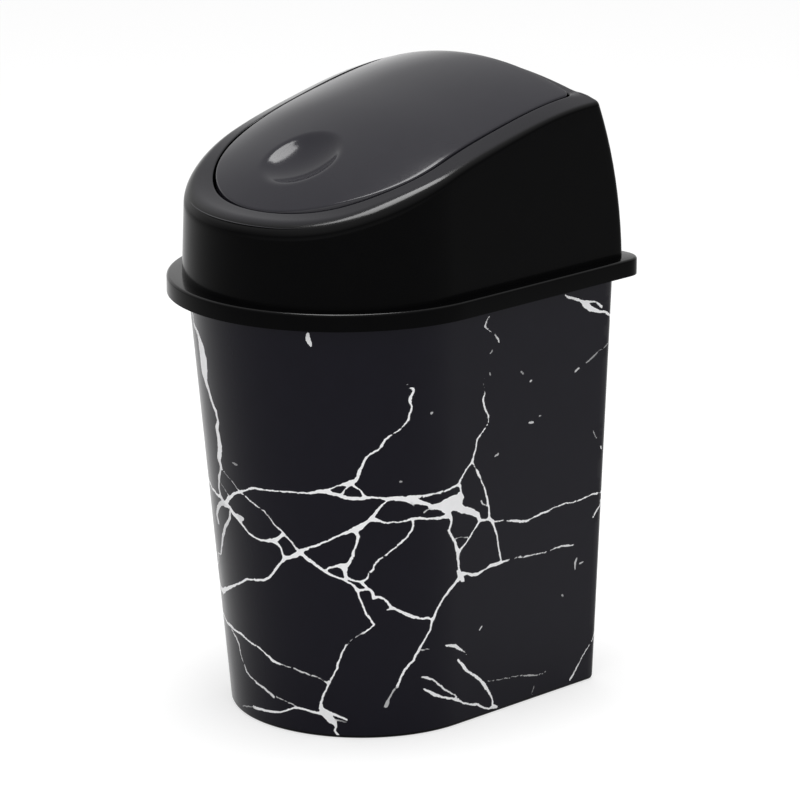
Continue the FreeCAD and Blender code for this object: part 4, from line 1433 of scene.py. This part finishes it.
@dataclass(frozen=True)
class Hood:
    """Lift-off hood: a skirt and a ledge, a dome with a rounded shoulder, and a collar around its opening."""

    skirt_low: float = 211.5 * MM
    skirt_wall: float = 2.0 * MM
    ledge: float = 2.0 * MM
    rim_edge: float = 1.3 * MM
    wall: float = 2.0 * MM
    draft: float = math.tan(math.radians(2.0))
    lean: float = 210.0 * MM
    front_shoulder: float = 9.0 * MM
    side_shoulder: float = 4.6 * MM
    rear_shoulder: float = 3.2 * MM
    shoulder_from: float = -60.0 * MM
    shoulder_to: float = -8.0 * MM
    lip: float = 1.0 * MM
    collar_depth: float = 10.5 * MM
    collar_wall: float = 1.8 * MM
    edge_steps: int = 6
    shoulder_steps: int = 14
    wall_steps: int = 10
    strip_steps: int = 8
    rise_tries: int = 30
    rear_dip: float = 2.0 * MM
    dip_from: float = 66.0 * MM
    dip_to: float = 74.0 * MM
    dip_inside: float = 57.0 * MM
    dip_outside: float = 67.0 * MM

    def crown(self, places: np.ndarray) -> np.ndarray:
        """Heights of the dome's top, which dips behind the flap's rear edge.

        Args:
            places: Places on the plan, x and y.

        Returns:
            One height per place.
        """
        back = share_between(places[:, 1], self.dip_from, self.dip_to)
        beside = share_between(abs(places[:, 0]), self.dip_inside, self.dip_outside)
        return HOOD_CROWN.over(places) - self.rear_dip * eased(back * (1 - beside))

    def wall_ring(self, rise: Size, inset: float) -> np.ndarray:
        """Places of the dome's wall.

        Args:
            rise: Height over the rim, one for all or one per place.
            inset: Distance inside the outer face.

        Returns:
            One point per place around the wall.
        """
        drawn = inset + rise * self.draft
        bent = inset + self.lean - np.sqrt(self.lean ** 2 - rise ** 2)
        plan = Plan(DOME_FOOT.half_width - drawn, DOME_FOOT.front - drawn, DOME_FOOT.rear - bent,
                    DOME_FOOT.corner - inset)
        return plan.ring(RIM_TOP + rise)

    def top_edge(self, inset: float) -> np.ndarray:
        """Find how far the wall rises until it meets the crown.

        Args:
            inset: Distance inside the outer face.

        Returns:
            One rise over the rim per place around the wall.
        """
        rise = np.full(len(OUTLINE), HOOD_CROWN.height(0.0, 0.0) - RIM_TOP)
        for _ in range(self.rise_tries):
            rise = self.crown(self.wall_ring(rise, inset)[:, :2]) - inset - RIM_TOP
        return rise

    def shoulder(self) -> list[np.ndarray]:
        """Round the edge between wall and crown: soft around the front, tight at sides and rear.

        Returns:
            The rings, from the wall to the crown.
        """
        rise = self.top_edge(0.0)
        edge = self.wall_ring(rise, 0.0)
        down = unit(self.wall_ring(rise - MM, 0.0) - edge)
        step_in = edge[:, :2] + inward(edge[:, :2]) * MM
        across = unit(np.column_stack([step_in, self.crown(step_in)]) - edge)
        tight = eased(share_between(edge[:, 1], self.shoulder_from, self.shoulder_to))
        rearward = share_between(edge[:, 1], 0.0, DOME_FOOT.rear / 2)
        side = self.side_shoulder + (self.rear_shoulder - self.side_shoulder) * rearward
        radius = (self.front_shoulder + (side - self.front_shoulder) * tight)[:, None]
        half = np.arccos((down * across).sum(1, keepdims=True)) / 2
        reach = radius / np.tan(half)
        centre = edge + unit(down + across) * radius / np.sin(half)
        first = (edge + down * reach - centre) / radius
        last = (edge + across * reach - centre) / radius
        end = edge + across * reach
        lift = self.crown(end[:, :2]) - end[:, 2]
        sweep = math.pi - 2 * half
        steep = (2 * sweep * np.tan(half))[:, 0]
        rings = []
        for share in np.linspace(0.0, 1.0, self.shoulder_steps + 1):
            spoke = (first * np.sin((1 - share) * sweep) + last * np.sin(share * sweep)) / np.sin(sweep)
            ring = centre + spoke * radius
            ring[:, 2] += lift * share ** steep
            rings.append(ring)
        return rings

    def build(self) -> list[bpy.types.Object]:
        """Make the hood as one closed skin, from the skirt's lower edge over the outside to the inside.

        Returns:
            The one piece.
        """
        opening = SEAM.grown(SEAM_GAP / 2)
        skirt_inside = RIM.grown(-self.skirt_wall)
        rings = [RIM.ring(self.skirt_low)]
        for sine, cosine in bends(0.0, 90.0, self.edge_steps):
            rings.append(RIM.grown(-self.rim_edge * (1 - cosine)).ring(RIM_TOP - self.rim_edge * (1 - sine)))
        shoulder = self.shoulder()
        low = shoulder[0][:, 2] - RIM_TOP
        for share in np.linspace(0.0, 1.0, self.wall_steps, endpoint=False):
            rings.append(self.wall_ring(low * share, 0.0))
        rings += shoulder
        start = shoulder[-1][:, :2]
        end = opening.grown(self.lip).points()
        for share in np.linspace(0.0, 1.0, self.strip_steps + 1)[1:]:
            places = start + (end - start) * share
            rings.append(np.column_stack([places, self.crown(places)]))
        for sine, cosine in bends(0.0, 90.0, self.edge_steps)[1:]:
            plan = opening.grown(self.lip * (1 - sine))
            rings.append(plan.ring(self.crown(plan.points()) - self.lip * (1 - cosine)))
        collar_outside = opening.grown(self.collar_wall)
        collar_low = self.crown(opening.points()) - self.collar_depth
        under = self.wall_ring(self.top_edge(self.wall), self.wall)
        rings += [opening.ring(collar_low), collar_outside.ring(collar_low),
                  collar_outside.ring(self.crown(collar_outside.points()) - self.wall), under]
        for share in np.linspace(1.0, 0.0, self.wall_steps + 1)[1:]:
            rings.append(self.wall_ring((under[:, 2] - RIM_TOP) * share, self.wall))
        below = RIM_TOP - self.ledge
        rings += [DOME_FOOT.grown(-self.wall).ring(below), skirt_inside.ring(below),
                  skirt_inside.ring(self.skirt_low)]
        piece = skin("hood_shell", rings, Closure.LOOP, LID_GLOSS.material())
        piece.data = Pivots().drill(piece.data)
        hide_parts("hood")
        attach(piece, "lid")
        return [piece]


@dataclass(frozen=True)
class Flap:
    """See-saw flap: a crowned panel with a skirt and a finger dimple."""

    wall: float = 2.0 * MM
    skirt: float = 8.0 * MM
    edge: float = 0.7 * MM
    dimple_y: float = -47.6 * MM
    dimple_z: float = 280.8 * MM
    dimple_tilt: float = math.radians(26.0)
    dimple_radius: float = 21.5 * MM
    dimple_depth: float = 6.4 * MM
    dimple_rim: float = 1.6 * MM
    rim_reach: float = 27.0 * MM
    edge_steps: int = 5
    panel_steps: int = 26
    bowl_steps: int = 30

    def top(self, places: np.ndarray, below: float = 0.0) -> np.ndarray:
        """Height of the panel with its dimple.

        Args:
            places: Places on the plan, x and y.
            below: Depth under the outer face.

        Returns:
            One height per place.
        """
        roof = FLAP_CROWN.over(places) - below
        ball = (self.dimple_radius ** 2 + self.dimple_depth ** 2) / (2 * self.dimple_depth)
        offset = ball - self.dimple_depth
        centre_y = self.dimple_y - offset * math.sin(self.dimple_tilt)
        centre_z = self.dimple_z + offset * math.cos(self.dimple_tilt)
        spread = (ball + below) ** 2 - places[:, 0] ** 2 - (places[:, 1] - centre_y) ** 2
        beside = roof + 2 * self.dimple_rim
        bowl = np.where(spread > 0.0, centre_z - np.sqrt(np.maximum(spread, 0.0)), beside)
        mixed = np.clip(0.5 + (bowl - roof) / (2 * self.dimple_rim), 0.0, 1.0)
        return bowl + (roof - bowl) * mixed - self.dimple_rim * mixed * (1 - mixed)

    def panel(self, outline: np.ndarray, below: float) -> list[np.ndarray]:
        """Rings of the panel from near its edge to the middle of the dimple.

        Args:
            outline: Places of the outermost ring.
            below: Depth under the outer face.

        Returns:
            The rings, the last one a single point.
        """
        middle = np.array([0.0, self.dimple_y])
        spokes = outline - middle
        reach = np.linalg.norm(spokes, axis=1, keepdims=True)
        spokes = spokes / reach
        distances = [self.rim_reach + (reach - self.rim_reach) * share
                     for share in np.linspace(1.0, 0.0, self.panel_steps, endpoint=False)]
        distances += [np.full_like(reach, self.rim_reach * share)
                      for share in np.linspace(1.0, 0.0, self.bowl_steps, endpoint=False)]
        rings = []
        for distance in distances:
            places = middle + spokes * distance
            rings.append(np.column_stack([places, self.top(places, below)]))
        rings.append(np.append(middle, self.top(middle[None], below))[None])
        return rings

    def build(self) -> list[bpy.types.Object]:
        """Make the flap as one closed skin, from its underside round the skirt to its outer face.

        Returns:
            The one piece.
        """
        plan = SEAM.grown(-SEAM_GAP / 2)
        inside = plan.grown(-self.wall)
        foot = HOOD_CROWN.over(plan.points()) - self.skirt
        rings = self.panel(inside.points(), self.wall)[::-1]
        rings += [inside.ring(foot), plan.ring(foot)]
        for sine, cosine in bends(0.0, 90.0, self.edge_steps)[:-1]:
            rim = plan.grown(-self.edge * (1 - cosine))
            rings.append(rim.ring(self.top(rim.points()) - self.edge * (1 - sine)))
        rings += self.panel(plan.grown(-self.edge).points(), 0.0)
        piece = skin("flap_shell", rings, Closure.POLES, FLAP_PAINTED_LIT.material())
        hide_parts("flap")
        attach(piece, "flap")
        return [piece]


@dataclass(frozen=True)
class Studio:
    """Pale floor, soft light from above and the camera at the photograph's angle."""

    floor_size: float = 12.0
    floor_albedo: float = 0.52
    floor_roughness: float = 0.9
    floor_glow: float = 0.57
    sky: tuple[tuple[float, float], ...] = ((0.0, 0.90), (0.10, 0.85), (0.34, 0.50), (1.0, 0.65))
    front: tuple[float, float, float] = (0.60, -0.60, -0.53)
    front_fill: float = 2.9
    softbox_place: Vector = Vector((0.0, -0.04, 1.60))
    softbox_size: tuple[float, float] = (0.65, 0.85)
    softbox_power: float = 15.8
    azimuth: float = math.radians(44.99)
    elevation: float = math.radians(15.47)
    camera_place: Vector = Vector((1.52157, -1.50873, 0.75557))
    focal_pixels: float = 4539.26
    frame_pixels: float = 800.0
    aim_right: float = 8.26
    aim_down: float = 23.12
    nudge_pixels: float = 0.5
    sensor: float = 36.0

    def grey(self, value: float) -> Colour:
        """A neutral colour."""
        return value, value, value, 1.0

    def lay_floor(self) -> None:
        """Lay the floor."""
        half = self.floor_size / 2
        mesh = bpy.data.meshes.new("studio_floor")
        corners = [(-half, -half, 0), (half, -half, 0), (half, half, 0), (-half, half, 0)]
        mesh.from_pydata(corners, [], [(0, 1, 2, 3)])
        material, tree, shader = new_material("floor_pale")
        shader.inputs["Base Color"].default_value = self.grey(self.floor_albedo)
        shader.inputs["Roughness"].default_value = self.floor_roughness
        shader.inputs["Specular IOR Level"].default_value = 0.0
        shader.inputs["Emission Color"].default_value = self.grey(1.0)
        rays = tree.nodes.new("ShaderNodeLightPath").outputs
        shown = rays["Is Camera Ray"]
        for ray in ("Is Glossy Ray", "Is Transmission Ray"):
            shown = add_node(tree, "ShaderNodeMath", {0: shown, 1: rays[ray]}, operation="MAXIMUM")
        glow = add_node(tree, "ShaderNodeMath", {0: shown, 1: self.floor_glow}, operation="MULTIPLY")
        tree.links.new(glow, shader.inputs["Emission Strength"])
        placed("studio_floor", mesh, material)

    def light(self) -> None:
        """Hang the light: a pale sky, brighter before the bin, and a softbox overhead."""
        world = bpy.data.worlds.new("studio_sky")
        bpy.context.scene.world = world
        world.use_nodes = True
        tree = world.node_tree
        sky = tree.nodes["Background"]
        place = tree.nodes.new("ShaderNodeTexCoord").outputs["Generated"]
        stops = [(height, self.grey(value)) for height, value in self.sky]
        level = ramp(tree, upward_part(tree, place), stops)
        front = add_node(tree, "ShaderNodeVectorMath", {0: place, 1: self.front}, operation="DOT_PRODUCT")
        fill = ranged(tree, front.node.outputs["Value"], (0.0, 1.0), (1.0, self.front_fill))
        tree.links.new(level, sky.inputs["Color"])
        tree.links.new(fill, sky.inputs["Strength"])
        lamp = bpy.data.lights.new("overhead_softbox", "AREA")
        lamp.shape = "RECTANGLE"
        lamp.size, lamp.size_y = self.softbox_size
        lamp.energy = self.softbox_power
        softbox = bpy.data.objects.new("overhead_softbox", lamp)
        softbox.location = self.softbox_place
        bpy.context.scene.collection.objects.link(softbox)

    def axes(self) -> tuple[Vector, Vector, Vector]:
        """Work out the photograph's directions.

        Returns:
            The directions to the right, upwards and along the middle sight line.
        """
        flat = math.cos(self.elevation)
        back = Vector((math.sin(self.azimuth) * flat, -math.cos(self.azimuth) * flat,
                       math.sin(self.elevation)))
        right = Vector((math.cos(self.azimuth), math.sin(self.azimuth), 0.0))
        up = back.cross(right)
        sight = (-back + (right * self.aim_right - up * self.aim_down) / self.focal_pixels).normalized()
        right = sight.cross(Vector((0.0, 0.0, 1.0))).normalized()
        return right, right.cross(sight), sight

    def sighted(self, wall: BVHTree, x: float, y: float) -> Vector:
        """Find the place on a wall that a pixel of the photograph shows.

        Args:
            wall: The wall.
            x: The pixel's column.
            y: The pixel's row.

        Returns:
            The place, or the nearest one inwards where the sight line passes the wall.
        """
        right, up, sight = self.axes()
        middle = self.frame_pixels / 2
        place = None
        while place is None:
            line = sight + (right * (x - middle) - up * (y - middle)) / self.focal_pixels
            place = wall.ray_cast(self.camera_place, line.normalized())[0]
            x += self.nudge_pixels if x < middle else -self.nudge_pixels
        return place

    def point_camera(self) -> None:
        """Set the camera where the photograph was taken from."""
        data = bpy.data.cameras.new("photo_camera")
        data.sensor_width = self.sensor
        data.lens = self.sensor * self.focal_pixels / self.frame_pixels
        camera = bpy.data.objects.new("photo_camera", data)
        right, up, sight = self.axes()
        turn = Matrix((right, up, -sight)).transposed()
        camera.matrix_world = Matrix.Translation(self.camera_place) @ turn.to_4x4()
        bpy.context.scene.collection.objects.link(camera)
        bpy.context.scene.camera = camera

    def set_up(self) -> None:
        """Set up the whole studio."""
        self.lay_floor()
        self.light()
        self.point_camera()
        bpy.context.scene.view_settings.view_transform = "Standard"


def main() -> None:
    """Build the bin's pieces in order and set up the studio."""
    logging.basicConfig(level=logging.INFO, format="%(name)s: %(message)s")
    for assembly in (Bucket(), MarbleFilm(), Hood(), Flap(), Pivots()):
        for piece in assembly.build():
            LOG.info("%s: %d faces", piece.name, len(piece.data.polygons))
    Studio().set_up()


if __name__ == "__main__":
    main()
